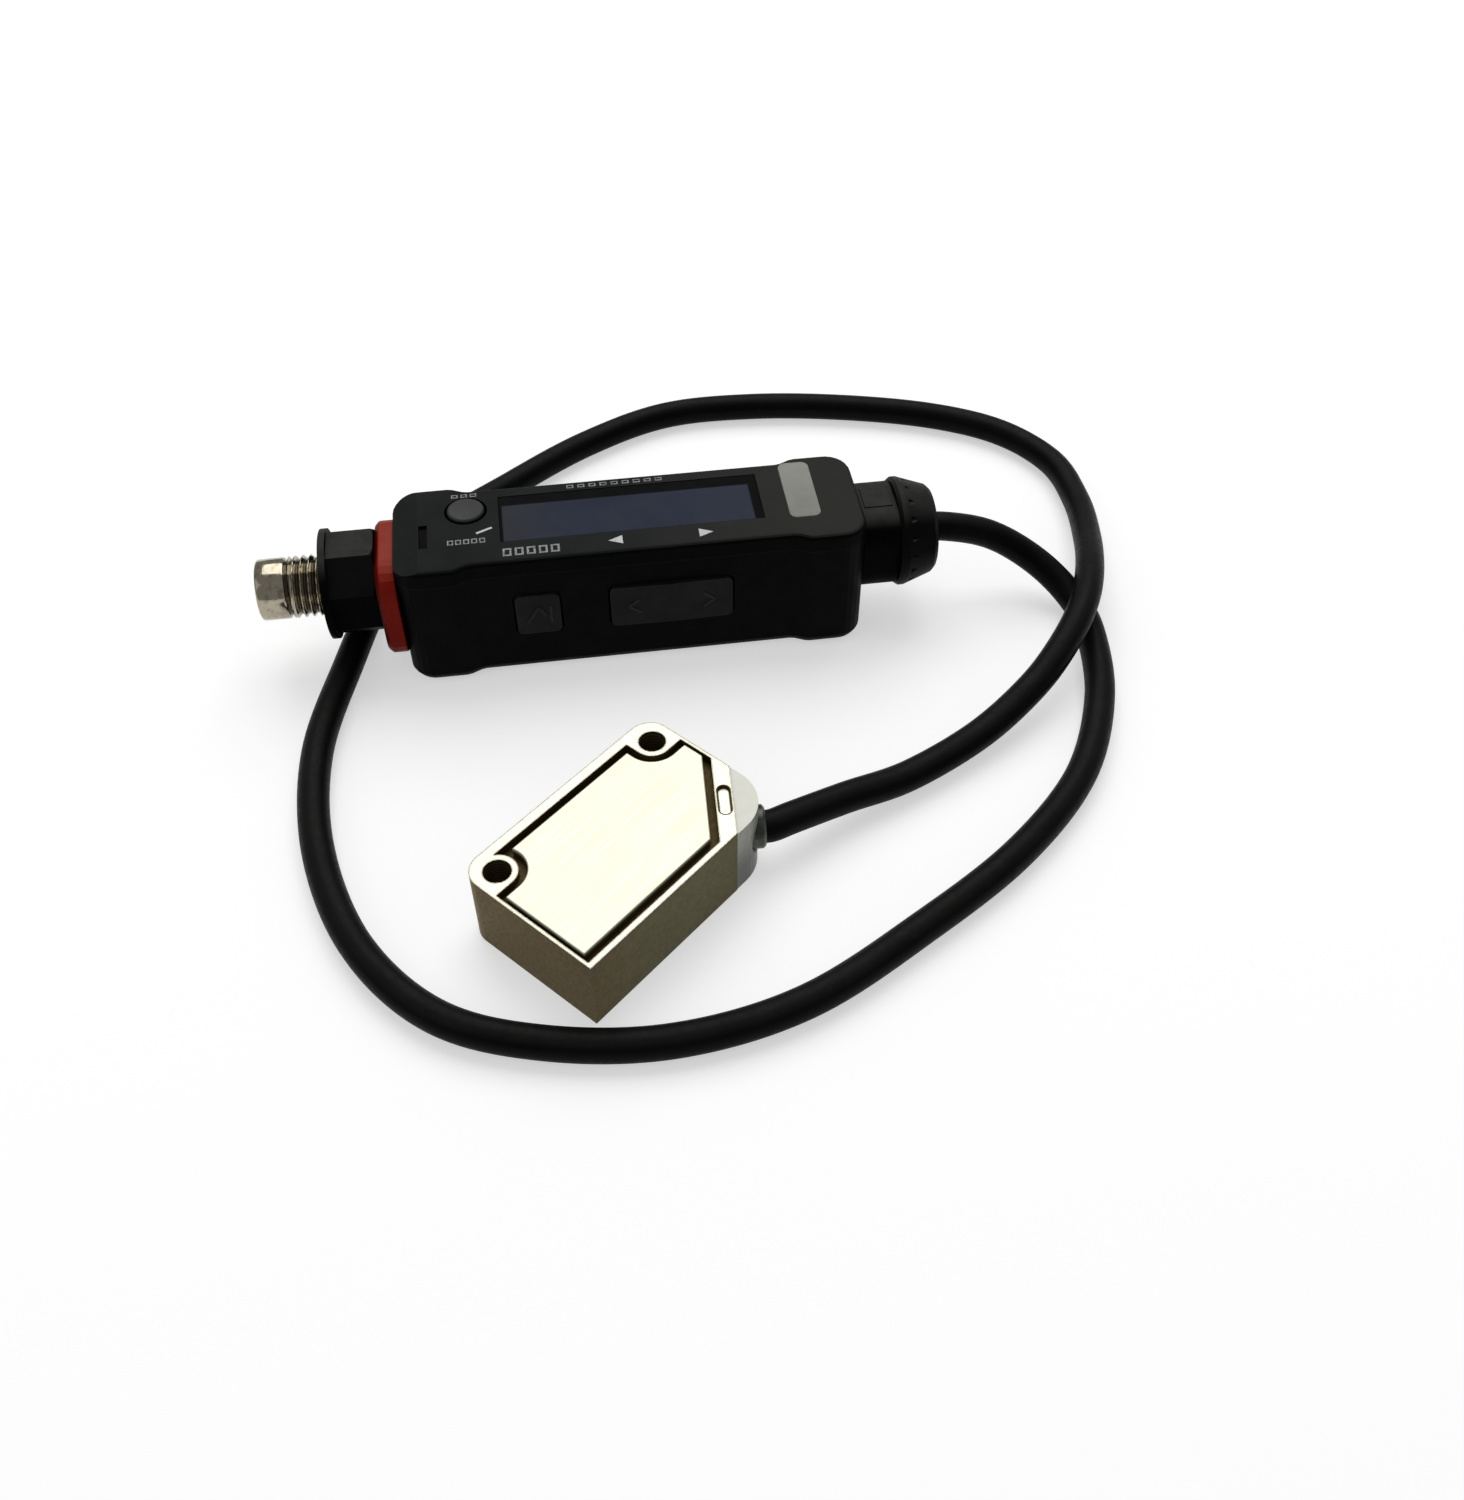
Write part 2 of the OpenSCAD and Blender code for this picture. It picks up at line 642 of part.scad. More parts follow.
module sensor_cable() {
    n = len(cable_line);
    ends = [unit(cable_line[1] - cable_line[0]), unit(cable_line[n - 1] - cable_line[n - 2])];
    color([0.08, 0.08, 0.09]) skin([for (i = [0:n - 1]) let (
        way = i == 0 ? ends[0] : i == n - 1 ? ends[1] : unit(cable_line[i + 1] - cable_line[i - 1]),
        side = unit(cross([0, 0, 1], way)),
        up = cross(way, side)
    ) [for (k = [0:ring_sides - 1]) let (a = 360 * (k + 0.5) / ring_sides)
        cable_line[i] + cable_r * (cos(a) * side + sin(a) * up)]]);
}

// The case's block between two heights, with edges rounded by a skin that is wider than
// the block everywhere else. Each entry of edge is [distance inside the outline, height].
module case_block(z0, z1, edge) {
    intersection() {
        translate([0, 0, z0]) linear_extrude(z1 - z0) polygon(case_outline(0));
        skin([for (e = edge) level(case_outline(e[0], 4), e[1])]);
    }
}

module amp_case() {
    foot = [for (t = [22.5:22.5:67.5]) [case_foot_r * (1 - sin(t)), case_foot_r * (1 - cos(t))]];
    color([0.07, 0.07, 0.075]) at_case() {
        difference() {
            case_block(0, lid_z, concat(
                [[case_foot_r + 1, -0.3]], foot, [[-0.4, case_foot_r + 0.6], [-0.4, case_high]]
            ));
            translate([0, 0, wall]) linear_extrude(case_high) polygon(case_outline(wall));
            tube_x(-eps, wall + eps, spigot_r + fit);
            tube_x(case_len - wall - eps, case_len + eps, spigot_r + fit);
            side_block(mode_x, side_y - eps, side_in_y + eps, mode_size[0] + 2 * button_gap,
                mode_size[1] + 2 * button_gap, side_corner_r + button_gap);
            side_block(rocker_x, side_y - eps, side_in_y + eps, rocker_size[0] + 2 * button_gap,
                rocker_size[1] + 2 * button_gap, side_corner_r + button_gap);
        }
        board_posts();
        pivot_ears();
    }
}

// Posts in the case's ends that carry the main board
module board_posts() {
    post = 2.2;
    for (x = [wall, case_len - wall - post], y = [board_y0 + 0.4, board_y1 - post]) {
        translate([x, y, wall]) cube([post, post, board_z - wall]);
    }
}

pivot_y = side_in_y + 1.0;
ear_z = rocker_size[1] / 2 + button_gap;

// Ears above and below the rocker's opening, bored for its pivot pins
module pivot_ears() {
    ear = [2.6, 2.0, pivot_len + 0.2];
    for (s = [-1, 1]) {
        translate([rocker_x, pivot_y, side_z + s * (ear_z + ear[2] / 2)]) difference() {
            translate([0, side_in_y - pivot_y + ear[1] / 2, 0]) cube(ear, center = true);
            cylinder(h = ear[2] + 2 * eps, r = pivot_r + pivot_gap, center = true);
        }
    }
}

module amp_cover() {
    edge = [for (t = [22.5:22.5:67.5]) [lid_edge_r * (1 - cos(t)), case_high - lid_edge_r * (1 - sin(t))]];
    color([0.2, 0.2, 0.21]) at_case() {
        difference() {
            case_block(lid_z, case_high, concat(
                [[-0.4, lid_z - 1], [-0.4, case_high - 2 * lid_edge_r]], edge, [[lid_edge_r + 1.3, case_high + 0.3]]
            ));
            glass_cut(2 * fit, glass_z);
            glass_cut(-2 * glass_step, lid_z - eps);
            lamp_cut(fit, lid_z - eps);
            translate([recess_at[0], recess_at[1], case_high - recess_deep])
                linear_extrude(recess_deep + eps) square(recess_size, center = true);
            translate([set_at[0], set_at[1], lid_z - eps]) cylinder(h = lid_thk + 2 * eps, r = set_r + button_gap);
            slope = atan(slope_drop / slope_len);
            translate([slope_len, 0, case_high]) rotate([0, -slope, 0])
                translate([-slope_len - 2, -case_wid, 0]) cube([slope_len + 2, 2 * case_wid, 2]);
        }
        difference() {
            translate([0, 0, lid_z - lip_deep]) linear_extrude(lip_deep + 0.3) difference() {
                polygon(case_outline(wall + lip_gap));
                polygon(case_outline(wall + lip_gap + lip_thk));
            }
            translate([set_at[0] - set_tab - button_gap, 0, lid_z - lip_deep - eps])
                cube([2 * (set_tab + button_gap), case_wid, lip_deep + 2 * eps]);
        }
    }
}

module glass_cut(more, z0) {
    translate([glass_at[0], glass_at[1], z0]) linear_extrude(case_high + eps - z0)
        square([glass_size[0] + more, glass_size[1] + more], center = true);
}

module lamp_cut(more, z0) {
    translate([lamp_at[0], lamp_at[1], z0]) linear_extrude(case_high + eps - z0)
        round_rect(lamp_size[0] + 2 * more, lamp_size[1] + 2 * more, 1.0 + more);
}

module display_window() {
    color([0.27, 0.3, 0.38]) at_case() translate([glass_at[0], glass_at[1], glass_z])
        linear_extrude(glass_size[2]) square([glass_size[0], glass_size[1]], center = true);
}

module display_module() {
    foot_y0 = board_y0 + 0.2;
    size = [glass_size[0] - 2.4, 2 * 3.6];
    color([0.12, 0.13, 0.16]) at_case() {
        translate([glass_at[0] - size[0] / 2, foot_y0, board_top]) cube([size[0], size[1] / 2 - foot_y0, 2]);
        translate([glass_at[0] - size[0] / 2, -size[1] / 2, board_top + 2])
            cube([size[0], size[1], lid_z - board_top - 2.2]);
    }
}

module lamp_window() {
    stem = [2.4, 6];
    color([0.72, 0.74, 0.72, 0.9]) at_case() {
        translate([lamp_at[0], lamp_at[1], lid_z + 0.4]) linear_extrude(lid_thk + lamp_proud - 0.4)
            round_rect(lamp_size[0], lamp_size[1], 1.0);
        translate([lamp_at[0] - stem[0] / 2, -stem[1] / 2, board_top + 1.7])
            cube([stem[0], stem[1], lid_z + 0.4 - board_top - 1.7]);
    }
}

module lamp_led() {
    color([0.85, 0.85, 0.7]) at_case() translate([lamp_at[0], 0, board_top]) {
        translate([-1.75, -1.4, 0]) cube([3.5, 2.8, 1.4]);
    }
}

module set_button() {
    color([0.3, 0.3, 0.31]) at_case() translate([set_at[0], set_at[1], 0]) {
        translate([0, 0, set_flange_z]) rotate_extrude() polygon([
            [0, 0], [set_r, 0], [set_r, case_high + button_proud - set_flange_z - 0.3],
            [set_r - 0.3, case_high + button_proud - set_flange_z], [0, case_high + button_proud - set_flange_z]
        ]);
        translate([-set_tab, -set_r + 0.4, set_flange_z]) cube([2 * set_tab, 2 * set_r - 0.8, flange_thk]);
        translate([0, 0, set_stem_z]) cylinder(h = set_flange_z - set_stem_z, r = 1.2);
    }
}

module mode_button() {
    color([0.3, 0.3, 0.31]) at_case() {
        side_block(mode_x, side_y - button_proud, flange_back, mode_size[0], mode_size[1], side_corner_r);
        side_block(mode_x, flange_back - flange_thk, flange_back, mode_size[0] + 2 * (button_gap + button_flange),
            mode_size[1] + 2 * (button_gap + button_flange), side_corner_r);
    }
}

// The rocker: two faces that meet in a low ridge, and a pin above and below
module select_rocker() {
    ridge = 0.2;
    w = rocker_size[0] / 2;
    top = side_z + rocker_size[1] / 2;
    back = flange_back - 0.1;
    color([0.3, 0.3, 0.31]) at_case() difference() {
        union() {
            side_block(rocker_x, side_y - button_proud - ridge, back, rocker_size[0], rocker_size[1], side_corner_r);
            translate([rocker_x, pivot_y, side_z])
                cylinder(h = rocker_size[1] + 2 * (button_gap + pivot_len), r = pivot_r, center = true);
            translate([rocker_x - pivot_r, back - eps, side_z - rocker_size[1] / 2])
                cube([2 * pivot_r, pivot_y - back + eps, rocker_size[1]]);
            for (s = [-1, 1]) {
                translate([rocker_x + s * rocker_size[0] / 3, back - eps, side_z]) rotate([-90, 0, 0])
                    cylinder(h = eps + 0.15, r = plunger_r);
            }
        }
        for (s = [-1, 1]) {
            translate([rocker_x, side_y - button_proud - ridge, side_z - rocker_size[1]])
                linear_extrude(2 * rocker_size[1]) polygon([[0, 0], [s * (w + eps), ridge], [s * (w + eps), -eps], [0, -eps]]);
        }
    }
}

module switch_y(x) {
    deep = side_board_y - plunger_tip - plunger_high;
    translate([x - switch_size / 2, side_board_y - deep, side_z - switch_size / 2])
        cube([switch_size, deep, switch_size]);
    translate([x, side_board_y - deep, side_z]) rotate([90, 0, 0]) cylinder(h = plunger_high, r = plunger_r);
}

module set_switch() {
    color([0.75, 0.75, 0.72]) at_case() translate([set_at[0], set_at[1], board_top]) {
        translate([-switch_size / 2, -switch_size / 2, 0]) cube([switch_size, switch_size, set_switch_high]);
        translate([0, 0, set_switch_high]) cylinder(h = plunger_high, r = plunger_r);
    }
}

module mode_switch() {
    color([0.75, 0.75, 0.72]) at_case() switch_y(mode_x);
}

module rocker_switches() {
    color([0.75, 0.75, 0.72]) at_case() for (s = [-1, 1]) switch_y(rocker_x + s * rocker_size[0] / 3);
}

module main_board() {
    x0 = wall + 0.2;
    color([0.05, 0.35, 0.18]) at_case() translate([x0, board_y0, board_z])
        cube([case_len - 2 * x0, board_y1 - board_y0, board_thk]);
}

module side_board() {
    color([0.05, 0.35, 0.18]) at_case()
        translate([side_board_x0, side_board_y, side_z - side_board_high / 2 - 0.5])
            cube([side_board_x1 - side_board_x0, board_thk, side_board_high]);
}

module marker_ring() {
    color([0.8, 0.2, 0.1]) at_case() difference() {
        along_x(0, ring_z) skin([
            level(rect_outline(ring_wid - 2 * ring_bevel, ring_high - 2 * ring_bevel, ring_corner_r - ring_bevel), -ring_thk),
            level(rect_outline(ring_wid, ring_high, ring_corner_r), ring_bevel - ring_thk),
            level(rect_outline(ring_wid, ring_high, ring_corner_r), 0)
        ]);
        tube_x(-ring_thk - eps, eps, spigot_r + fit);
    }
}

seal_r = 0.5;
seal_x = -ring_thk / 2;

module connector_collar() {
    color([0.09, 0.09, 0.095]) at_case() difference() {
        union() {
            tube_x(plug_x, collar_x, flange_r);
            intersection() {
                along_x(collar_x, axis_z) rotate([0, 0, 22.5])
                    cylinder(h = collar_len, r = collar_flats / 2 / cos(22.5), $fn = 8);
                turned([
                    [collar_x, 0], [collar_x, flange_r], [-ring_thk - 0.4, flange_r - 0.3],
                    [-ring_thk, flange_r - 0.7], [-ring_thk, 0]
                ]);
            }
            tube_x(-ring_thk, wall, spigot_r);
        }
        tube_x(plug_x - eps, plug_x + shank_len + fit, shank_r + fit);
        tube_x(plug_x, wall + eps, socket_r - 0.4);
        turned([
            [seal_x - seal_r, spigot_r + eps], [seal_x - seal_r, spigot_r - 2 * seal_r],
            [seal_x + seal_r, spigot_r - 2 * seal_r], [seal_x + seal_r, spigot_r + eps]
        ]);
    }
}

// A sealing ring in the groove of the collar's spigot
module collar_seal() {
    r = seal_r - fit / 2;
    color([0.1, 0.1, 0.1]) at_case() along_x(seal_x, axis_z)
        rotate_extrude() translate([spigot_r - r + fit / 2, 0]) circle(r, $fn = 24);
}

module connector_shell() {
    r = plug_d / 2;
    color([0.78, 0.74, 0.68]) at_case() turned([
        [nose_x, socket_r], [nose_x, r - 0.35], [nose_x + 0.3, r - 0.05], [thread_x - plug_groove, r - 0.05],
        [thread_x - plug_groove, r - 0.45], [thread_x, r - 0.45], [thread_x, r], [plug_x, r],
        [plug_x, shank_r], [plug_x + shank_len, shank_r], [plug_x + shank_len, socket_r]
    ]);
}

insert_x0 = nose_x + socket_deep;
insert_x1 = plug_x + shank_len;

module pin_places() {
    for (i = [0:pin_count - 1]) {
        a = 45 + 360 * i / pin_count;
        translate([0, pin_circle_r * cos(a), pin_circle_r * sin(a)]) children();
    }
}

module connector_insert() {
    color([0.1, 0.1, 0.11]) at_case() difference() {
        tube_x(insert_x0, insert_x1, socket_r - fit / 2);
        pin_places() tube_x(insert_x0 - eps, insert_x1 + eps, pin_r + fit / 2);
    }
}

module connector_pins() {
    front = nose_x + 1.2;
    color([0.85, 0.7, 0.35]) at_case() pin_places() {
        tube_x(front + 0.3, insert_x1 + 1.2, pin_r);
        along_x(front, axis_z) cylinder(h = 0.3, r1 = pin_r - 0.2, r2 = pin_r);
    }
}

module gland_body() {
    color([0.08, 0.08, 0.085]) at_case() difference() {
        union() {
            along_x(case_len, axis_z) linear_extrude(body_len) round_rect(body_wid, body_wid, body_corner_r);
            translate([case_len + (body_len - body_pad[0]) / 2, -body_pad[1] / 2, axis_z])
                cube([body_pad[0], body_pad[1], body_wid / 2 + body_pad[2]]);
            tube_x(case_len - wall, case_len, spigot_r);
            tube_x(body_x1, boss_x1, boss_thread_r);
        }
        tube_x(case_len - wall - eps, boss_x1 + eps, core_r);
    }
}

module gland_nut() {
    r = boss_thread_r + fit;
    color([0.08, 0.08, 0.085]) at_case() difference() {
        turned([
            [body_x1, r], [body_x1, nut_r - 0.3], [body_x1 + 0.4, nut_r], [body_x1 + 1.0, nut_r],
            [nut_x1 - 0.5, nut_end_r + 0.1], [nut_x1, nut_end_r - 0.4], [nut_x1, cable_r + 0.6],
            [nut_x1 - nut_lip, cable_r + 0.6], [nut_x1 - nut_lip, r]
        ]);
        for (i = [0:nut_grooves - 1]) {
            along_x(body_x1 + 1.4, axis_z) rotate([0, 0, (i + 0.5) * 360 / nut_grooves])
                translate([nut_r + 0.05, 0, 0]) cylinder(h = nut_len, r = 0.5, $fn = 16);
        }
    }
}

module gland_seal() {
    color([0.12, 0.12, 0.12]) at_case() turned([
        [boss_x1, cable_bore_r], [boss_x1, boss_thread_r], [nut_x1 - nut_lip, boss_thread_r],
        [nut_x1 - nut_lip, cable_bore_r]
    ]);
}

head_case();
head_cover();
front_window();
optics_holder();
emitter_lens();
receiver_lens();
laser_diode();
image_sensor();
head_board();
indicator_lens();
head_gland();
sensor_cable();
amp_case();
amp_cover();
display_window();
display_module();
lamp_window();
lamp_led();
set_button();
mode_button();
select_rocker();
set_switch();
mode_switch();
rocker_switches();
main_board();
side_board();
marker_ring();
connector_collar();
collar_seal();
connector_shell();
connector_insert();
connector_pins();
gland_body();
gland_nut();
gland_seal();
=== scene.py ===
# %% [markdown]
# # A digital laser sensor, dressed for its portrait
# The real thing is a small metal sensing head, one black cable and an in-line
# amplifier. Its solids were drawn in CAD and come in here as a fixed frame. This
# lesson adds what CAD leaves out: edges that catch light, a cut thread, printed
# marks, and a finish for every piece.

# %% Load the frame
import math

import bmesh
import bpy
from mathutils import Matrix, Vector
from mathutils.geometry import interpolate_bezier


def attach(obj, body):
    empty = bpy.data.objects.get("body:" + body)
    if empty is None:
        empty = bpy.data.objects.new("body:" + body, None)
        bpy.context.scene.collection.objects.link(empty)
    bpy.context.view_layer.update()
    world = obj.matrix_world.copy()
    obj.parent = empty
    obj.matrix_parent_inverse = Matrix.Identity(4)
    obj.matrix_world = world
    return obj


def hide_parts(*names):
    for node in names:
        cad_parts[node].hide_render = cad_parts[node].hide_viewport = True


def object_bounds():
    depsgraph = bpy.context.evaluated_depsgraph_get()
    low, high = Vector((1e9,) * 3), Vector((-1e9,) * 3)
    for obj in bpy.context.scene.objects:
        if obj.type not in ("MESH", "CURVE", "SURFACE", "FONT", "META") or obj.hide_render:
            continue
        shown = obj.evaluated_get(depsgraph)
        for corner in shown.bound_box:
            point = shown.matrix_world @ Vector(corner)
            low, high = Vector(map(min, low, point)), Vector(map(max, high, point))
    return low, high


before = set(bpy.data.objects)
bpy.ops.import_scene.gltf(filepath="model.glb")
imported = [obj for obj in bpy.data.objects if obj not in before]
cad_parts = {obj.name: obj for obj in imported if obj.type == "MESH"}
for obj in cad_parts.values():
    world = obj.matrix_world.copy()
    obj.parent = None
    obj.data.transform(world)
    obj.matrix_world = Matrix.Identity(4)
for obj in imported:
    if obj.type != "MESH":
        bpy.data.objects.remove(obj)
cad_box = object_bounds()
mm = 0.001
print("solids:", len(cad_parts), "box in mm:", [[round(c / mm, 1) for c in p] for p in cad_box])

# %% [markdown]
# ## Two sets of coordinates
# The head was drawn square to the world, with its origin between the two mounting
# holes. The amplifier was drawn along its own axis and then laid down at a slant.
# Everything on the amplifier is easier to place in the amplifier's own millimetres,
# so one small matrix takes those to the world.

# %% Coordinates of the amplifier
case_place = Vector((12.6, 43.7, 0.0)) * mm
case_turn = math.radians(-41.8)
case_len, cover_high = 60.0, 18.8    # its length, and the height of its cover's top
axis_high = 11.6                     # height of the line through plug and gland
case_to_world = Matrix.Translation(case_place) @ Matrix.Rotation(case_turn, 4, "Z") @ Matrix.Scale(mm, 4)


def on_case(x, y, z):
    """A point given along, across and above the amplifier in millimetres, in the world."""
    return case_to_world @ Vector((x, y, z))


print("the cable end of the amplifier in mm:", [round(c / mm, 1) for c in on_case(case_len, 0, axis_high)])

# %% [markdown]
# ## The camera
# The portrait looks down at about 47 degrees from a near corner. The place and the
# angle were worked out from the known sizes of the head, such as the 25.4 mm between
# its mounting holes, so straight edges meet where they do in the photograph.

# %% Camera
camera = bpy.data.objects.new("camera", bpy.data.cameras.new("camera"))
bpy.context.scene.collection.objects.link(camera)
camera.location = Vector((-77.20, -87.45, 143.78)) * mm
camera.rotation_euler = (math.radians(42.816), 0.0, math.radians(-50.10))
camera.data.sensor_width = 36.0
camera.data.lens = 37.2
camera.data.clip_start = 0.01
camera.data.clip_end = 20.0
bpy.context.scene.camera = camera
print("camera height in mm:", round(camera.location.z / mm, 1))

# %% [markdown]
# ## The cable
# The cable is round, 3.9 mm thick and limp. It leaves the head, goes once round
# behind the amplifier and in front of the head, passes over itself on the right and
# ends in the amplifier's gland. A curve with a round bevel is the simplest true
# cable: it is equally thick everywhere and bends smoothly. The points lie on the
# route of the CAD cable, and the handles are a sixth of the step between each
# point's neighbours, which gives the same smooth line that the CAD cable follows.
# At the end the curve is turned into a mesh, so that its true box can be measured.

# %% Route of the cable
cable_d = 3.9 * mm
cable_route = [
    (13.682, -14.882, 5.15), (15.061, -16.261, 5.15), (18, -17.3, 4.85), (25.3, -19.6, 3.6),
    (34, -22.9, 2.5), (45, -25.7, 2.8), (55, -26.8, 4.2), (62.5, -26.5, 5.9), (70, -24.8, 6.8),
    (77.5, -21.4, 6.2), (86, -16.2, 4), (94, -9.8, 2.4), (99.8, -2, 2), (101.2, 8, 1.95),
    (98, 18.6, 1.95), (91, 30.4, 1.95), (82, 41.6, 1.95), (71.4, 50.5, 1.95), (58, 54.8, 1.95),
    (43, 56.4, 1.95), (28.5, 57, 1.95), (15.5, 52.9, 1.95), (3, 45.3, 1.95), (-9.8, 36.2, 1.95),
    (-19.8, 24.2, 1.95), (-26.1, 10.2, 1.95), (-26.9, -3.4, 1.95), (-21.8, -14.9, 1.95),
    (-12.5, -25.6, 1.95), (0.4, -33.3, 1.95), (17, -37.3, 1.95), (33, -39.6, 1.95),
    (48, -38.7, 1.95), (61, -33.6, 1.95), (70.6, -26.5, 2.05), (74.9, -20.8, 2.5),
    (75, -14.6, 5.4), (71.4, -9, 9.4), (66.349, -4.357, 11.6), (62.920, -1.291, 11.6),
]
route = [Vector(p) * mm for p in cable_route]

# %% The cable as a curve
last = len(route) - 1
leans = [(route[min(i + 1, last)] - route[max(i - 1, 0)]) / 6 for i in range(last + 1)]
cable_curve = bpy.data.curves.new("cable_line", "CURVE")
cable_curve.dimensions = "3D"
cable_curve.resolution_u = 12
cable_curve.bevel_depth = cable_d / 2
cable_curve.bevel_resolution = 7
cable_curve.use_fill_caps = True
line = cable_curve.splines.new("BEZIER")
line.bezier_points.add(last)
for point, place, lean in zip(line.bezier_points, route, leans):
    point.co = place
    point.handle_left_type = point.handle_right_type = "FREE"
    point.handle_left = place - lean
    point.handle_right = place + lean

# %% The cable as a mesh
curve_holder = bpy.data.objects.new("cable_line", cable_curve)
bpy.context.scene.collection.objects.link(curve_holder)
bpy.context.view_layer.update()
drawn = curve_holder.evaluated_get(bpy.context.evaluated_depsgraph_get())
cable = bpy.data.objects.new("cable", bpy.data.meshes.new_from_object(drawn))
bpy.context.scene.collection.objects.link(cable)
bpy.data.objects.remove(curve_holder)
centre_line = []
for i in range(last):
    step = interpolate_bezier(route[i], route[i] + leans[i], route[i + 1] - leans[i + 1], route[i + 1], 9)
    centre_line += step[:-1] if i < last - 1 else step
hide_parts("sensor_cable")
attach(cable, "base")
print("cable faces:", len(cable.data.polygons), "points on its line:", len(centre_line))

# %% [markdown]
# ## The table and the light
# The object lies on a white table that fades into a white background. The table is
# an ordinary white surface, so it takes the soft shadows under the cable. Only for
# the eye of the camera, and for what glass and metal mirror, it also glows a little,
# which lifts the lit parts to pure white and leaves the shadows. Far from the object
# the glow is full, so no horizon shows from a low angle. One large soft lamp
# hangs high behind the object: it whitens what faces up, leaves the near sides in
# shade, and draws the broad pale streak along the top of the cable.

# %% Table
table_mesh = bpy.data.meshes.new("table")
reach = 3.0
corners = [(-reach, -reach, 0), (reach, -reach, 0), (reach, reach, 0), (-reach, reach, 0)]
table_mesh.from_pydata(corners, [], [(0, 1, 2, 3)])
table = bpy.data.objects.new("table", table_mesh)
bpy.context.scene.collection.objects.link(table)
table.location = (0.03, 0.01, -0.00004)

table_finish = bpy.data.materials.new("white_table")
table_finish.use_nodes = True
nodes, links = table_finish.node_tree.nodes, table_finish.node_tree.links
white = nodes["Principled BSDF"]
white.inputs["Base Color"].default_value = (0.67, 0.67, 0.665, 1)
white.inputs["Roughness"].default_value = 0.9
white.inputs["Specular IOR Level"].default_value = 0.1
seen = nodes.new("ShaderNodeLightPath")
place = nodes.new("ShaderNodeTexCoord")
far = nodes.new("ShaderNodeVectorMath")
far.operation = "LENGTH"
links.new(place.outputs["Object"], far.inputs[0])
near_glow, full_glow = 0.52, 1.0     # beside the object, and far from it
fade_from, fade_to = 0.2, 0.9        # metres from the object
fade = nodes.new("ShaderNodeMapRange")
for name, value in (("From Min", fade_from), ("From Max", fade_to),
                    ("To Min", near_glow), ("To Max", full_glow)):
    fade.inputs[name].default_value = value
links.new(far.outputs["Value"], fade.inputs["Value"])


def combine(kind, a, b):
    """One node that joins two values of the table's finish."""
    m = nodes.new("ShaderNodeMath")
    m.operation = kind
    for socket, v in zip(m.inputs, (a, b)):
        if isinstance(v, float):
            socket.default_value = v
        else:
            links.new(v, socket)
    return m.outputs[0]


to_eye = combine("MULTIPLY", seen.outputs["Is Camera Ray"], fade.outputs["Result"])
mirrored = combine("MAXIMUM", seen.outputs["Is Glossy Ray"], seen.outputs["Is Transmission Ray"])
glow = combine("MAXIMUM", to_eye, combine("MULTIPLY", mirrored, near_glow))
white.inputs["Emission Color"].default_value = (1, 1, 1, 1)
links.new(glow, white.inputs["Emission Strength"])
table_mesh.materials.append(table_finish)
print("table:", reach * 2, "m across")

# %% Sky and lamps
world = bpy.data.worlds.new("studio")
bpy.context.scene.world = world
world.use_nodes = True
nodes, links = world.node_tree.nodes, world.node_tree.links
sky = nodes["Background"]
sky.inputs["Color"].default_value = (0.98, 0.99, 1.0, 1)
seen = nodes.new("ShaderNodeLightPath")
level = nodes.new("ShaderNodeMapRange")
sky_on_object, sky_seen = 0.3, 1.0
level.inputs["To Min"].default_value = sky_on_object
level.inputs["To Max"].default_value = sky_seen
links.new(seen.outputs["Is Camera Ray"], level.inputs["Value"])
links.new(level.outputs["Result"], sky.inputs["Strength"])
middle = (cad_box[0] + cad_box[1]) / 2
away = Vector((0.7672, 0.6414, 0.0))     # level, from the near corner to the far one
right = Vector((0.6414, -0.7672, 0.0))


def lamp(name, direction, distance, size, watts):
    """A square soft lamp that looks at the middle of the object."""
    light = bpy.data.lights.new(name, "AREA")
    light.shape = "SQUARE"
    light.size = size
    light.energy = watts
    holder = bpy.data.objects.new(name, light)
    bpy.context.scene.collection.objects.link(holder)
    holder.location = middle + direction.normalized() * distance
    holder.rotation_euler = (-direction).to_track_quat("-Z", "Y").to_euler()


lamp("big_soft_lamp", away * 0.62 + Vector((0, 0, 1.0)), 0.95, 0.85, 5.6)
lamp("side_fill", -right - away * 0.5 + Vector((0, 0, 0.8)), 1.0, 0.6, 0.5)
bpy.context.scene.view_settings.view_transform = "Standard"

# %% [markdown]
# ## A kit for finishes
# A real surface is never one flat colour. Every finish here starts from the same
# four things: a colour that wanders between two shades, a roughness that wanders
# too, a fine grain that tilts the light, and edges that are rubbed a little paler.
# All patterns are made from positions on the object in millimetres, so a grain of
# 0.2 mm is 0.2 mm everywhere and moves with the piece when a button is pressed.

# %% Colours and patterns
def paint(r, g, b):
    """A colour as it is read off a screen, 0 to 255, as the renderer's linear numbers."""
    def flat(c):
        c = c / 255
        return c / 12.92 if c <= 0.04045 else ((c + 0.055) / 1.055) ** 2.4
    return (flat(r), flat(g), flat(b), 1.0)


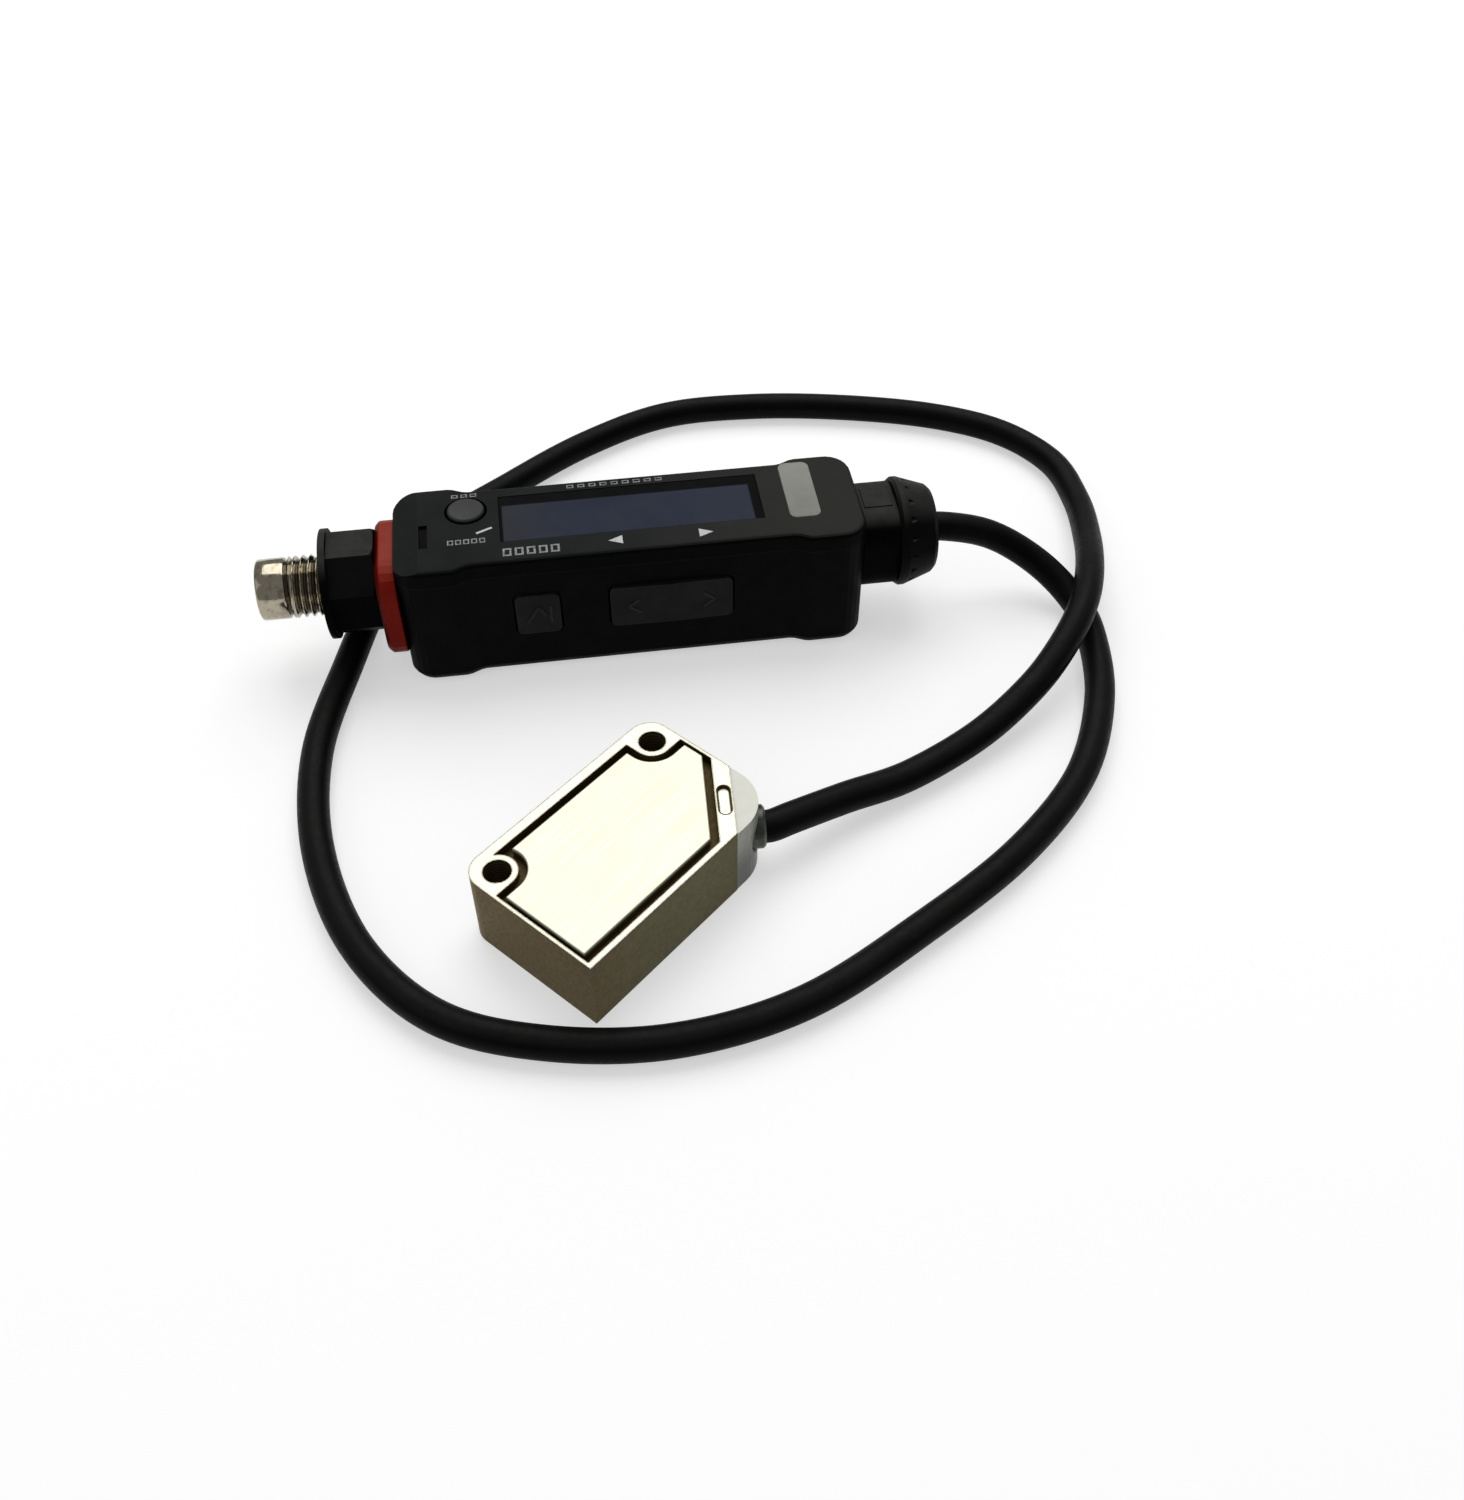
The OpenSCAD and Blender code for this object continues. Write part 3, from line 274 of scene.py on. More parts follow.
class Finish:
    """A material with short names for the few nodes that this object's finishes need."""

    def __init__(self, name, metal=0.0, on_amplifier=False):
        self.mat = bpy.data.materials.new(name)
        self.mat.use_nodes = True
        self.nodes, self.links = self.mat.node_tree.nodes, self.mat.node_tree.links
        self.shader = self.nodes["Principled BSDF"]
        self.shader.inputs["Metallic"].default_value = metal
        self.where = self.nodes.new("ShaderNodeTexCoord")
        place = self.nodes.new("ShaderNodeMapping")
        place.vector_type = "TEXTURE"
        place.inputs["Scale"].default_value = (mm, mm, mm)
        if on_amplifier:
            place.inputs["Location"].default_value = case_place
            place.inputs["Rotation"].default_value = (0, 0, case_turn)
        self.links.new(self.where.outputs["Object"], place.inputs["Vector"])
        self.at = place.outputs["Vector"]

    def set(self, **values):
        """Plain numbers and colours on the shader itself."""
        for name, value in values.items():
            self.shader.inputs[name.replace("_", " ")].default_value = value
        return self

    def noise(self, size, detail=4.0, stretch=None):
        """A cloudy pattern whose patches are about size millimetres across."""
        spot = self.at
        if stretch:
            squeeze = self.nodes.new("ShaderNodeMapping")
            squeeze.inputs["Scale"].default_value = stretch
            self.links.new(self.at, squeeze.inputs["Vector"])
            spot = squeeze.outputs["Vector"]
        cloud = self.nodes.new("ShaderNodeTexNoise")
        cloud.inputs["Scale"].default_value = 1.0 / size
        cloud.inputs["Detail"].default_value = detail
        cloud.inputs["Roughness"].default_value = 0.55
        self.links.new(spot, cloud.inputs["Vector"])
        return cloud.outputs["Fac"]

    def ramp(self, value, low, high, to_low=0.0, to_high=1.0):
        """Takes low..high of a value to to_low..to_high, smoothly."""
        m = self.nodes.new("ShaderNodeMapRange")
        m.interpolation_type = "SMOOTHSTEP"
        m.inputs["From Min"].default_value = low
        m.inputs["From Max"].default_value = high
        m.inputs["To Min"].default_value = to_low
        m.inputs["To Max"].default_value = to_high
        self.links.new(value, m.inputs["Value"])
        return m.outputs["Result"]

    def math(self, kind, a, b=None):
        """One sum of two values; each is a socket or a number."""
        m = self.nodes.new("ShaderNodeMath")
        m.operation = kind
        for i, v in enumerate((a, b)):
            if isinstance(v, (int, float)):
                m.inputs[i].default_value = v
            elif v is not None:
                self.links.new(v, m.inputs[i])
        return m.outputs[0]

    def product(self, *values):
        """All the values times one another: where every mask is 1, the product is 1."""
        whole = values[0]
        for v in values[1:]:
            whole = self.math("MULTIPLY", whole, v)
        return whole

    def length(self, a, b):
        """The distance whose two legs are a and b."""
        return self.math("SQRT", self.math("ADD", self.product(a, a), self.product(b, b)))

    def blend(self, factor, a, b):
        """One colour over another, by a factor."""
        m = self.nodes.new("ShaderNodeMix")
        m.data_type = "RGBA"
        self.links.new(factor, m.inputs[0])
        for socket, v in ((m.inputs[6], a), (m.inputs[7], b)):
            if isinstance(v, tuple):
                socket.default_value = v
            else:
                self.links.new(v, socket)
        return m.outputs[2]

    def axes(self, vector=None):
        """The three parts of a position or a direction."""
        s = self.nodes.new("ShaderNodeSeparateXYZ")
        self.links.new(vector or self.at, s.inputs[0])
        return s.outputs

    def facing(self):
        """The direction that the surface faces, as its three parts."""
        return self.axes(self.where.outputs["Normal"])

    def inside(self, value, low, high, soft=0.1):
        """1 where the value lies between low and high, fading over soft millimetres."""
        return self.product(self.ramp(value, low - soft, low + soft),
                            self.ramp(value, high - soft, high + soft, 1.0, 0.0))

    def edges(self, radius, sharp=0.12):
        """1 along outer and inner edges, found by comparing the surface with a rounded one."""
        round_over = self.nodes.new("ShaderNodeBevel")
        round_over.samples = 4
        round_over.inputs["Radius"].default_value = radius * mm
        plain = self.nodes.new("ShaderNodeNewGeometry")
        dot = self.nodes.new("ShaderNodeVectorMath")
        dot.operation = "DOT_PRODUCT"
        self.links.new(round_over.outputs[0], dot.inputs[0])
        self.links.new(plain.outputs["Normal"], dot.inputs[1])
        return self.ramp(dot.outputs["Value"], 1.0 - sharp, 0.995, 1.0, 0.0)

    def dusted_and_top_lit(self, colour, dust_and_top_light, amount):
        """The colour with a thin pale film on whatever faces up: part settled dirt, part painted light from
        above.
        """
        film = self.product(self.ramp(self.facing()[2], 0.62, 0.97, 0.0, amount),
                            self.ramp(self.noise(2.2, detail=6.0), 0.25, 0.65, 0.7, 1.0))
        return self.blend(film, colour, dust_and_top_light)

    def colour(self, socket):
        """What the surface's colour is."""
        self.links.new(socket, self.shader.inputs["Base Color"])

    def roughness(self, socket):
        """How rough the surface is, from 0, a mirror, to 1."""
        self.links.new(socket, self.shader.inputs["Roughness"])

    def grain(self, *layers):
        """Each layer is (height socket, depth in millimetres): the surface's fine relief."""
        before = None
        for height, depth in layers:
            b = self.nodes.new("ShaderNodeBump")
            b.inputs["Distance"].default_value = depth * mm
            b.inputs["Strength"].default_value = 1.0
            self.links.new(height, b.inputs["Height"])
            if before:
                self.links.new(before, b.inputs["Normal"])
            before = b.outputs["Normal"]
        self.links.new(before, self.shader.inputs["Normal"])


print("kit ready, grey 128 is", round(paint(128, 128, 128)[0], 3), "in linear light")

# %% [markdown]
# ## Edges that catch light
# CAD edges are perfectly sharp, and no moulded or cast edge is. The CAD meshes stay
# as they are, and a stack of modifiers rounds them: the triangles of each flat face
# are first joined into one face, then every sharp edge gets a narrow round, and the
# normals are weighted so that the flats stay flat.

# %% Rounding of the CAD edges
def soften(node, width):
    """Rounds the sharp edges of one CAD solid by width millimetres."""
    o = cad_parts[node]
    join = o.modifiers.new("join", "WELD")
    join.merge_threshold = 0.002 * mm
    flats = o.modifiers.new("flats", "DECIMATE")
    flats.decimate_type = "DISSOLVE"
    flats.angle_limit = math.radians(0.6)
    edge = o.modifiers.new("edge", "BEVEL")
    edge.width = width * mm
    edge.segments = 2
    edge.limit_method = "ANGLE"
    edge.angle_limit = math.radians(32.0)
    edge.use_clamp_overlap = True
    edge.miter_outer = "MITER_ARC"
    shade = o.modifiers.new("shade", "WEIGHTED_NORMAL")
    shade.weight = 80
    shade.keep_sharp = True


def dress(finish, *names):
    """Gives the finish to CAD solids, in place of the plain colour they came with."""
    for n in names:
        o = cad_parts[n]
        o.data.materials.clear()
        o.data.materials.append(finish.mat)


for node, width in (("head_case", 0.14), ("head_cover", 0.12), ("mode_button", 0.16),
                    ("select_rocker", 0.16), ("lamp_window", 0.12), ("display_window", 0.06),
                    ("marker_ring", 0.15), ("connector_collar", 0.15), ("gland_body", 0.2),
                    ("set_button", 0.12), ("indicator_lens", 0.2)):
    soften(node, width)
print("softened:", sum(1 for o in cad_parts.values() if o.modifiers))

# %% [markdown]
# ## The metal head
# The head is a small zinc casting with a satin nickel skin. Its top rim and the
# rounds at the holes were ground flat after casting; what faces up there is painted
# much paler than the sides, partly for the grinding and partly as painted light from
# above. The sides keep the warm grey of the casting. The narrow rounds between top
# and sides are painted dark as shade, as are the groove round the cover, the walls
# round the small slot and the bores of the holes, where faint painted highlights
# mark the thread. One material does all of it: masks made from the position and the
# direction of each spot choose between the looks.

# %% Cast metal of the head
cast = Finish("cast_head_metal", metal=0.8).set(Specular_Tint=paint(238, 226, 204))
x, y, z = cast.axes()[:3]
across, up = cast.facing()[1:3]
cloud = cast.noise(5.0)
fine = cast.noise(0.5, detail=6.0)

# the sides: warm grey, and greener towards the right of the long near side
warm = cast.blend(cloud, paint(67, 57, 39), paint(84, 74, 53))
green = cast.blend(cloud, paint(68, 69, 51), paint(85, 86, 66))
side = cast.blend(cast.product(cast.ramp(x, -15.0, -6.0), cast.ramp(across, -0.5, -0.9)), warm, green)
# the pale top: partly a ground finish, partly painted light from above
ground_and_lit_top = cast.blend(fine, paint(206, 203, 184), paint(226, 223, 206))

# masks in mm: the flat top, the groove and the inside, the floor of the slot, the bores
flat_top = cast.product(cast.ramp(up, 0.86, 0.97), cast.ramp(z, 10.15, 10.25))
within = cast.product(cast.inside(x, -15.12, 15.12, 0.03), cast.inside(y, -16.02, 1.97, 0.03),
                      cast.inside(z, 0.6, 10.22, 0.05))
slope = cast.math("SUBTRACT", x, y)
slot_floor = cast.product(cast.ramp(slope, 22.12, 22.2), cast.ramp(up, 0.6, 0.9))
deep = cast.product(within, cast.math("SUBTRACT", 1.0, slot_floor))
hole_x = 12.7
from_axis = cast.length(cast.math("SUBTRACT", cast.math("ABSOLUTE", x), hole_x), y)
in_bore = cast.product(cast.ramp(from_axis, 1.66, 1.72, 1.0, 0.0), cast.inside(z, 0.3, 10.0, 0.08))
shade = cast.math("MAXIMUM", deep, in_bore)
flat_top = cast.math("MAXIMUM", flat_top, slot_floor)

# painted shade: a dark line on the walls and the rim of the slot, which lies at 45 degrees with its middle
# at slot_x, slot_y
slot_x, slot_y, slot_half = 11.208, -12.408, 1.45
diagonal = math.sqrt(0.5)
along = cast.product(cast.math("SUBTRACT", cast.math("ADD", x, y), slot_x + slot_y), diagonal)
over = cast.product(cast.math("SUBTRACT", slope, slot_x - slot_y), diagonal)
past = cast.math("MAXIMUM", cast.math("SUBTRACT", cast.math("ABSOLUTE", along), slot_half), 0.0)
slot_shade_line = cast.product(cast.inside(cast.length(past, over), 0.6, 0.86, 0.04), cast.ramp(z, 9.7, 9.8))

# the looks, one over another
# painted shade: the narrow rounds just under the top are painted dark
skin = cast.blend(cast.ramp(z, 10.05, 10.12), side, paint(58, 52, 36))
skin = cast.blend(cast.product(cast.edges(0.3), 0.2), skin, paint(150, 142, 122))
# painted shade: a thin dark outline along the edges of the pale top
outline = cast.product(cast.edges(0.32, 0.02), 0.9)
skin = cast.blend(flat_top, skin, cast.blend(outline, ground_and_lit_top, paint(70, 63, 42)))
skin = cast.blend(slot_shade_line, skin, paint(52, 45, 30))
# painted shade in the groove, the inside and the bores, with faint painted highlights along the thread in
# the bores
thread = cast.ramp(cast.math("PINGPONG", z, 0.25), 0.05, 0.2)
recess_shade = cast.blend(cloud, paint(66, 54, 32), paint(100, 84, 54))
recess_shade = cast.blend(cast.product(thread, in_bore), recess_shade, paint(112, 98, 78))
cast.colour(cast.blend(shade, skin, recess_shade))
cast.roughness(cast.math("ADD", cast.ramp(fine, 0.3, 0.7, 0.34, 0.46), cast.product(shade, 0.25)))
cast.grain((cast.noise(0.9, detail=3.0), 0.02), (fine, 0.008))
dress(cast, "head_case")
print("cast metal has", len(cast.nodes), "nodes")

# %% [markdown]
# ## The cover plate
# The cover is a separate plate of bright aluminium, brushed very finely along its
# length. Brushing is noise that is stretched a great deal one way, and it goes into
# the roughness and the relief and hardly into the colour.

# %% Brushed cover plate
plate = Finish("brushed_cover_plate", metal=0.4)
strokes = plate.noise(0.35, detail=5.0, stretch=(0.03, 1.0, 1.0))
cloud = plate.noise(7.0)
z = plate.axes()[2]
bright = plate.blend(cloud, paint(229, 228, 200), paint(236, 235, 211))
bright = plate.blend(plate.product(plate.edges(0.2), 0.4), bright, paint(246, 246, 236))
# painted shade: the plate's walls below its top, down in the groove, are painted dark brown
plate.colour(plate.blend(plate.ramp(z, 9.9, 10.25, 1.0, 0.0), bright, paint(96, 84, 58)))
plate.roughness(plate.ramp(strokes, 0.3, 0.7, 0.30, 0.42))
plate.grain((strokes, 0.004), (plate.noise(3.0, detail=2.0), 0.01))
dress(plate, "head_cover")
print("plate finish ready")

# %% [markdown]
# ## Glass and clear plastic
# The sensing window is a dark red filter pane with two lenses behind it. The round
# corner at the cable is a clear plastic light guide that glows when the sensor
# switches. Thin clear plastic looks right when most of the light goes through and
# the rest is scattered by a faint haze and fine scratches.

# %% Window, lenses and indicator
def clear(name, tint, rough, through, ior, hairs=0.003):
    """Glass or clear plastic; through is the share of light that goes through."""
    f = Finish(name).set(Transmission_Weight=through, IOR=ior)
    cloud, hair = f.noise(1.5), f.noise(0.25, stretch=(0.1, 1.0, 1.0))
    f.colour(f.blend(cloud, paint(*tint), paint(*(min(255, c + 8) for c in tint))))
    f.roughness(f.ramp(hair, 0.35, 0.75, rough, rough + 0.1))
    f.grain((hair, hairs))
    return f


pane = clear("red_filter_glass", (74, 8, 14), 0.05, 0.45, 1.5, hairs=0.0006)
dress(pane.set(Specular_IOR_Level=0.35), "front_window")
dress(clear("lens_glass", (226, 236, 240), 0.02, 0.95, 1.52), "emitter_lens", "receiver_lens")
guide = clear("indicator_plastic", (234, 236, 222), 0.34, 0.1, 1.46).set(Specular_IOR_Level=1.0)
haze = guide.noise(1.5)
# painted light: what faces up is painted pale, and the upright faces dark olive low down and paler towards
# the top, as if light from above came through the clear plastic
pale = guide.blend(haze, paint(238, 238, 222), paint(250, 250, 238))
height = guide.axes()[2]
lit = guide.product(guide.ramp(height, 3.0, 9.0, 0.0, 0.8), guide.ramp(haze, 0.3, 0.7, 0.75, 1.0))
painted_side_light = guide.blend(lit, paint(62, 61, 44), paint(200, 202, 184))
guide.colour(guide.blend(guide.ramp(guide.facing()[2], 0.5, 0.9), painted_side_light, pale))
dress(guide, "indicator_lens")
print("clear pieces: 4")

# %% [markdown]
# ## Moulded black plastics
# The amplifier is glass-filled plastic from a finely sparked mould. The case is
# nearly black, the cover a shade lighter, the buttons lighter again because fingers
# have polished them. They share one recipe: two dark shades, a spark grain of about
# 0.15 mm, a slow cloud in the roughness, rubbed edges, and a pale film on what faces
# up, which is part dust and part painted light from above. Upright walls can be
# painted darker as shade.

# %% Recipe for moulded plastic
def moulded(name, dark, light, rough, spark=0.15, depth=0.006, rub=(70, 70, 70), rubbed=0.25,
            gloss=0.35, dust_and_top_light=0.0, shaded_walls=None, on_amplifier=True):
    """dark and light are its two shades, rub its worn edges; a colour for the upright faces, if given, is
    painted on them as shade, and a pale film, part settled dirt and part painted light from above, lies on
    what faces up.
    """
    f = Finish(name, on_amplifier=on_amplifier).set(Specular_IOR_Level=gloss)
    cloud, sparks = f.noise(4.0), f.noise(spark, detail=3.0)
    colour = f.blend(f.ramp(cloud, 0.3, 0.7), paint(*dark), paint(*light))
    colour = f.blend(f.product(f.edges(0.18), rubbed), colour, paint(*rub))
    # painted shade: the upright faces take their own darker colour, if one is given
    if shaded_walls:
        colour = f.blend(f.ramp(f.facing()[2], 0.5, 0.85), paint(*shaded_walls), colour)
    # a pale film on what faces up: part dust, part painted light from above
    f.colour(f.dusted_and_top_lit(colour, paint(104, 104, 100), dust_and_top_light))
    f.roughness(f.ramp(f.noise(2.5), 0.3, 0.7, rough - 0.05, rough + 0.06))
    f.grain((sparks, depth), (f.noise(6.0, detail=1.0), 0.02))
    return f


case_skin = moulded("case_plastic", (5, 5, 6), (8, 8, 9), 0.52, gloss=0.035,
                    rub=(46, 46, 45), rubbed=0.35, dust_and_top_light=0.05)
dress(case_skin, "amp_case")
# the button's upright walls are painted near black as shade
button_skin = moulded("button_plastic", (58, 59, 59), (68, 69, 69), 0.46, gloss=0.1,
                      rub=(90, 90, 90), dust_and_top_light=0.1, shaded_walls=(12, 12, 12))
dress(button_skin, "set_button")
sign_skin = moulded("sign_plastic", (46, 46, 45), (58, 58, 56), 0.5, gloss=0.07)
side_skin = moulded("side_button_plastic", (29, 29, 29), (37, 37, 37), 0.5, gloss=0.07,
                    rub=(84, 84, 82), rubbed=0.4)
dress(side_skin, "mode_button", "select_rocker")
# the collar, the gland and the nut get a paler film on their tops, part dust and part painted light from
# above
collar_skin = moulded("collar_plastic", (5, 4, 5), (7, 6, 7), 0.5, gloss=0.02,
                      rub=(38, 38, 36), dust_and_top_light=0.3)
dress(collar_skin, "connector_collar", "gland_body")
nut_skin = moulded("nut_plastic", (7, 7, 7), (11, 11, 11), 0.45, gloss=0.04,
                   rub=(44, 44, 42), dust_and_top_light=0.22)
dress(nut_skin, "gland_nut")
dress(moulded("optics_plastic", (18, 18, 19), (26, 26, 27), 0.6, on_amplifier=False), "optics_holder")
print("plastics:", [m.name for m in bpy.data.materials if "plastic" in m.name])

# %% [markdown]
# ## The cover
# The cover's top is a dark grey, lighter towards the cable end, while its upright
# sides are painted as black as the case, as shade, so the two look like one moulding
# from the side. A short sunk bar behind the slope is painted near black, as shade.
# The direction and the height of each spot tell them apart.

# %% Cover plastic
lid = Finish("cover_plastic", on_amplifier=True).set(Specular_IOR_Level=0.03)
x, y, z = lid.axes()[:3]
cloud = lid.noise(5.0)
# the top: dark grey, lighter towards the cable end
top_grey = lid.blend(lid.ramp(cloud, 0.3, 0.7), paint(30, 32, 32), paint(38, 40, 39))
top_grey = lid.blend(lid.ramp(x, 20.0, 54.0, 0.0, 0.65), top_grey, paint(56, 56, 53))
# painted shade: a short sunk bar behind the slope is painted near black
sunk_shade = lid.product(lid.inside(x, 3.3, 4.5, 0.04), lid.inside(y, -3.65, 1.05, 0.04),
                   lid.ramp(z, 18.5, 18.7, 1.0, 0.0))
# painted shade: the upright faces are painted near black, the top keeps its grey
lid_tone = lid.blend(lid.ramp(lid.facing()[2], 0.72, 0.92), paint(7, 7, 8), top_grey)
lid_tone = lid.blend(lid.product(lid.edges(0.18), 0.2), lid_tone, paint(66, 66, 64))
lid.colour(lid.blend(sunk_shade, lid_tone, paint(6, 6, 6)))
lid.roughness(lid.ramp(lid.noise(2.5), 0.3, 0.7, 0.48, 0.6))
lid.grain((lid.noise(0.15, detail=3.0), 0.006), (lid.noise(6.0, detail=1.0), 0.02))
dress(lid, "amp_cover")
print("cover ready")

# %% [markdown]
# ## The display and the lamp
# Behind a dark pane lies a display that shows slate blue while it is off. The pane
# is printed black from behind on the far side and at the right, so one material
# carries the lit rectangle and its black frame, with a clear gloss over both. The
# lamp window beside it is translucent white plastic, lit from inside when on.

# %% Display pane
display = Finish("display_pane", on_amplifier=True).set(Specular_IOR_Level=0.02)
x, y = display.axes()[:2]
lit = display.product(display.inside(x, 14.0, 46.0, 0.12), display.inside(y, -3.55, 3.6, 0.12))
hue = display.blend(display.ramp(x, 13.0, 24.0), paint(56, 56, 62), paint(46, 52, 68))
hue = display.blend(display.ramp(x, 30.0, 46.0), hue, paint(54, 59, 73))
lines = display.nodes.new("ShaderNodeTexWave")
lines.wave_type, lines.bands_direction = "BANDS", "Y"
lines.inputs["Scale"].default_value = 0.9
display.links.new(display.at, lines.inputs["Vector"])
hue = display.blend(display.ramp(lines.outputs["Fac"], 0.0, 1.0, 0.0, 0.16), hue, paint(38, 43, 58))
hue = display.blend(display.ramp(display.noise(5.0), 0.3, 0.7, 0.0, 0.3), hue, paint(62, 66, 76))
display.colour(display.blend(lit, paint(6, 7, 9), hue))
display.roughness(display.ramp(display.noise(2.0), 0.3, 0.7, 0.34, 0.44))
display.grain((display.noise(0.3, stretch=(0.15, 1.0, 1.0)), 0.002))
dress(display, "display_window")

lamp_cap = Finish("lamp_cap", on_amplifier=True)
lamp_cap.set(Subsurface_Weight=0.35, Subsurface_Scale=1.2 * mm, Specular_IOR_Level=0.4)
milk = lamp_cap.blend(lamp_cap.noise(2.5), paint(116, 117, 108), paint(134, 135, 126))
lamp_cap.colour(lamp_cap.blend(lamp_cap.ramp(lamp_cap.axes()[1], -4.0, 6.5), milk, paint(142, 142, 134)))
lamp_cap.roughness(lamp_cap.ramp(lamp_cap.noise(1.2), 0.3, 0.7, 0.38, 0.5))
lamp_cap.grain((lamp_cap.noise(0.2), 0.004))
dress(lamp_cap, "lamp_window")
print("display and lamp ready")

# %% [markdown]
# ## Ring, seals, boards and what else is inside
# The coloured ring marks the plug end. Rubber seals, circuit boards, switches and
# pins are mostly hidden, yet each has its own finish, so that an opened or cut model
# still looks like the real thing.

# %% Ring and rubber
ring = Finish("marker_ring_plastic", on_amplifier=True).set(Specular_IOR_Level=0.07)
cloud = ring.noise(3.0)
red = ring.blend(cloud, paint(128, 22, 12), paint(146, 30, 16))
# a pale film on the ring's top: part dust, part painted light from above
red = ring.dusted_and_top_lit(red, paint(206, 120, 100), 0.16)
ring.colour(ring.blend(ring.ramp(ring.axes()[0], -2.25, -1.75, 1.0, 0.0), red, paint(84, 10, 8)))
ring.roughness(ring.ramp(ring.noise(1.5), 0.3, 0.7, 0.36, 0.48))
ring.grain((ring.noise(0.2), 0.004), (cloud, 0.02))
dress(ring, "marker_ring")

rubber = moulded("seal_rubber", (24, 24, 24), (34, 34, 33), 0.72, spark=0.3, depth=0.01, gloss=0.3)
dress(rubber, "collar_seal", "gland_seal")
print("ring and rubber ready")

# %% Boards, switches and small metal
def plain_detail(name, dark, light, rough, size, metal=0.0):
    """A plain finish in two shades, with spots of about size millimetres."""
    f = Finish(name, metal=metal)
    spots = f.noise(size)
    f.colour(f.blend(f.ramp(spots, 0.35, 0.65), paint(*dark), paint(*light)))
    f.roughness(f.ramp(f.noise(size * 0.6), 0.3, 0.7, rough - 0.05, rough + 0.07))
    f.grain((f.noise(size * 0.2), 0.004))
    return f


dress(plain_detail("solder_mask", (16, 74, 40), (30, 98, 56), 0.35, 1.2),
      "main_board", "side_board", "head_board")
dress(plain_detail("switch_body", (188, 186, 178), (206, 204, 196), 0.5, 0.8),
      "set_switch", "mode_switch", "rocker_switches", "lamp_led")
dress(plain_detail("chip_black", (22, 22, 23), (32, 32, 34), 0.45, 0.8), "image_sensor", "display_module")
dress(plain_detail("gold_plate", (206, 168, 84), (226, 190, 108), 0.24, 0.6, metal=1.0),
      "connector_pins", "laser_diode")
dress(moulded("insert_plastic", (16, 16, 17), (24, 24, 25), 0.5), "connector_insert")
dress(plain_detail("gland_metal", (56, 60, 54), (76, 80, 73), 0.36, 0.9, metal=0.6), "head_gland")
print("finishes so far:", len(bpy.data.materials))

# %% [markdown]
# ## Cable jacket
# Polyurethane is smooth but not glossy. Handling leaves faint lengthwise scuffs, so
# the roughness varies along the cable, and a slow wobble in the relief keeps the
# highlight from looking like a ruled line.

# %% Cable jacket
jacket = Finish("cable_jacket").set(Specular_IOR_Level=0.05)
cloud, scuff = jacket.noise(9.0), jacket.noise(0.8, detail=6.0)
black = jacket.blend(jacket.ramp(cloud, 0.3, 0.7), paint(8, 8, 8), paint(13, 13, 13))
black = jacket.blend(jacket.ramp(scuff, 0.62, 0.8, 0.0, 0.4), black, paint(40, 40, 40))
# a pale film along the cable's top: part dust, part painted light from above
jacket.colour(jacket.dusted_and_top_lit(black, paint(96, 96, 92), 0.06))
jacket.roughness(jacket.ramp(scuff, 0.3, 0.75, 0.36, 0.52))
jacket.grain((jacket.noise(0.25), 0.006), (jacket.noise(6.0, detail=1.0), 0.05))
cable.data.materials.clear()
cable.data.materials.append(jacket.mat)
print("cable jacket ready")

# %% [markdown]
# ## The threaded plug
# The plug is turned from brass and nickel plated: a smooth nose, a narrow groove,
# an M8 thread with a 1 mm pitch, and a shank inside the collar. A thread is not a
# stack of rings, it climbs. So the outer wall is made from rings of points whose
# radius depends on how far along and how far round each point lies, and the depth
# fades at both ends as a real cut thread runs out.

# %% Shape of the plug
def thread_depth(x, turn):
    """How deep the thread is cut at a place along and round the plug, in millimetres."""
    pitch, deep, start, end, fade = 1.0, 0.45, -13.7, -9.5, 0.45
    phase = ((x - start) / pitch + turn) % 1.0
    tooth = min(1.0, max(0.0, 1.35 * (1.0 - abs(2.0 * phase - 1.0)) - 0.12))
    ends = min(1.0, max(0.0, (x - start) / fade)) * min(1.0, max(0.0, (end - x) / fade + 0.35))
    return deep * tooth * ends


def plug_profile():
    """(along, radius, threaded or not) from the mouth over the outside and back through the bore."""
    r, bore, shank = 4.0, 3.2, 3.6
    line = [(-17.6, bore, 0), (-17.8, bore + 0.2, 0), (-17.8, r - 0.32, 0), (-17.72, r - 0.16, 0),
            (-17.5, r - 0.05, 0), (-16.2, r - 0.05, 0), (-14.4, r - 0.05, 0), (-14.22, r - 0.12, 0),
            (-14.15, r - 0.42, 0), (-14.0, r - 0.46, 0), (-13.8, r - 0.44, 0), (-13.7, r - 0.3, 0)]
    steps = 84
    line += [(-13.66 + 4.36 * i / steps, r, 1) for i in range(steps + 1)]
    line += [(-9.3, shank, 0), (-5.4, shank, 0), (-5.3, shank - 0.1, 0), (-5.3, bore, 0), (-9.0, bore, 0),
             (-13.0, bore, 0)]
    return line


